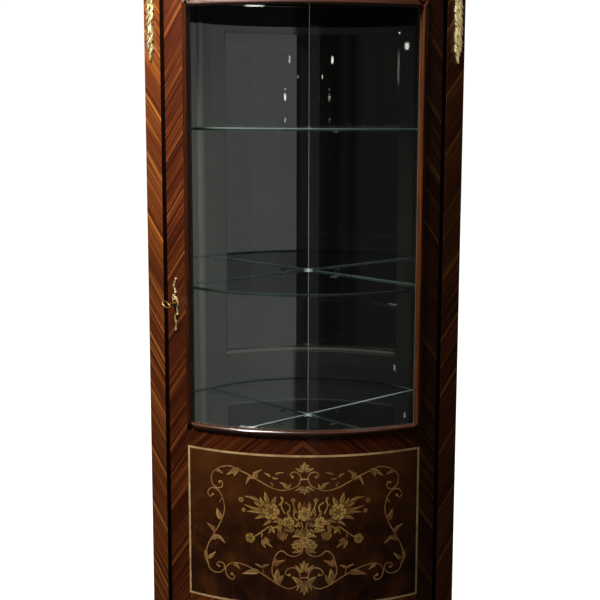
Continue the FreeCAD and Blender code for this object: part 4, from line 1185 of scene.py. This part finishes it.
def add_floor():
    """A plain pale floor, lit evenly from straight above by its own light."""
    size = 14.0
    mesh = bpy.data.meshes.new("floor")
    corners = [(-size, -size, 0), (size, -size, 0), (size, size, 0), (-size, size, 0)]
    mesh.from_pydata(corners, [], [(0, 1, 2, 3)])
    floor = new_object("floor", mesh)
    floor.visible_glossy = False
    floor.visible_diffuse = False
    t = new_tree("floor_pale")
    color = t.mix(t.patches(3.0), (0.86, 0.86, 0.85), (0.90, 0.90, 0.89))
    mesh.materials.append(t.finish(Base_Color=color, Roughness=0.6))
    data = bpy.data.lights.new("floor_light", "SUN")
    data.energy = 5.0
    data.angle = radians(60)
    light_only(new_object("floor_light", data), "floor")


KEY_AZIMUTH = radians(-42)
KEY_REACH = 1.27
KEY_HEIGHT = 2.50
KEY_PLACE = (KEY_REACH * sin(KEY_AZIMUTH), -KEY_REACH * cos(KEY_AZIMUTH), KEY_HEIGHT)
# what the mirrors show of the inside of the door and its surround
LINED_PIECES = [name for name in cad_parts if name.startswith("door_") and name != "door_glass"]
LINED_PIECES += [*GLASS_BEADS, *("glazing_moulding_" + moulding[1] for moulding in MOULDINGS)]
LINED_PIECES += ["right_front_stile", "right_reveal_strip", "right_mirror_bead"]
SHELF_PIECES = ["left_mirror", "right_mirror", "shelf_pins", *(shelf[0] for shelf in SHELVES)]
STUDIO_LAMPS = [
    # name, place, target, width, height, power, colour
    ("key_light", KEY_PLACE, (0.0, 0.0, 1.3), 0.9, 0.6, 57.0, (1.0, 0.96, 0.90)),
    ("fill_light", (1.8, -2.6, 2.6), (0.0, 0.0, 0.9), 1.4, 1.4, 6.5),
    ("back_light", (-0.6, 3.6, 2.2), (0.0, 0.2, 0.9), 1.6, 1.6, 30.0),
]
PIECE_LAMPS = [
    # name, place, target, width, height, power, the pieces that it lights
    ("inner_front_light", (0.02, 0.10, 1.0), (0.06, -1.0, 1.0), 0.35, 1.5, 0.4, LINED_PIECES),
    ("rear_light", (-0.255, 2.73, 1.0), (0.15, -0.2, 1.0), 0.08, 0.5, 42.0, LINED_PIECES),
    ("inner_rear_light", (0.0, -0.10, 1.10), (0.0, 1.0, 1.10), 0.30, 1.0, 2.6, SHELF_PIECES),
    ("bead_light", (0.05, -0.14, 1.05), (0.30, -0.07, 1.05), 0.05, 1.2, 0.6, ["right_mirror_bead"]),
    ("chute_light", (1.5, -2.2, 2.0), (0.33, -0.1, 1.56), 0.8, 0.8, 76.0, ["right_chute_cast"]),
    ("plate_light", (-1.3, -2.2, 1.5), (-0.28, -0.2, 0.94), 0.8, 0.8, 26.0, ["key_plate_cast", "key"]),
    ("moulding_light", (-1.15, -1.85, 1.9), (-0.1, -0.2, 0.7), 0.5, 3.0, 150.0, ["glazing_moulding_bottom"]),
]


def add_lamps():
    for settings in STUDIO_LAMPS:
        leave_out(add_area(*settings), "floor")
    for *settings, pieces in PIECE_LAMPS:
        light_only(add_area(*settings), *pieces)
    # the left wall alone stops the rear light, so it lights only the hinge side of the lining
    rear = bpy.data.objects["rear_light"].light_linking
    rear.blocker_collection = group_of("rear_light_blockers", ["left_back_wall"])
    # this one only puts a gleam on its moulding
    gleam = bpy.data.objects["moulding_light"]
    gleam.visible_glossy = True
    gleam.visible_diffuse = False


add_world()
add_floor()
add_lamps()

scene = bpy.context.scene
scene.view_settings.view_transform = "Standard"
scene.cycles.max_bounces = 16
scene.cycles.transparent_max_bounces = 24
scene.cycles.glossy_bounces = 8
scene.cycles.caustics_reflective = False
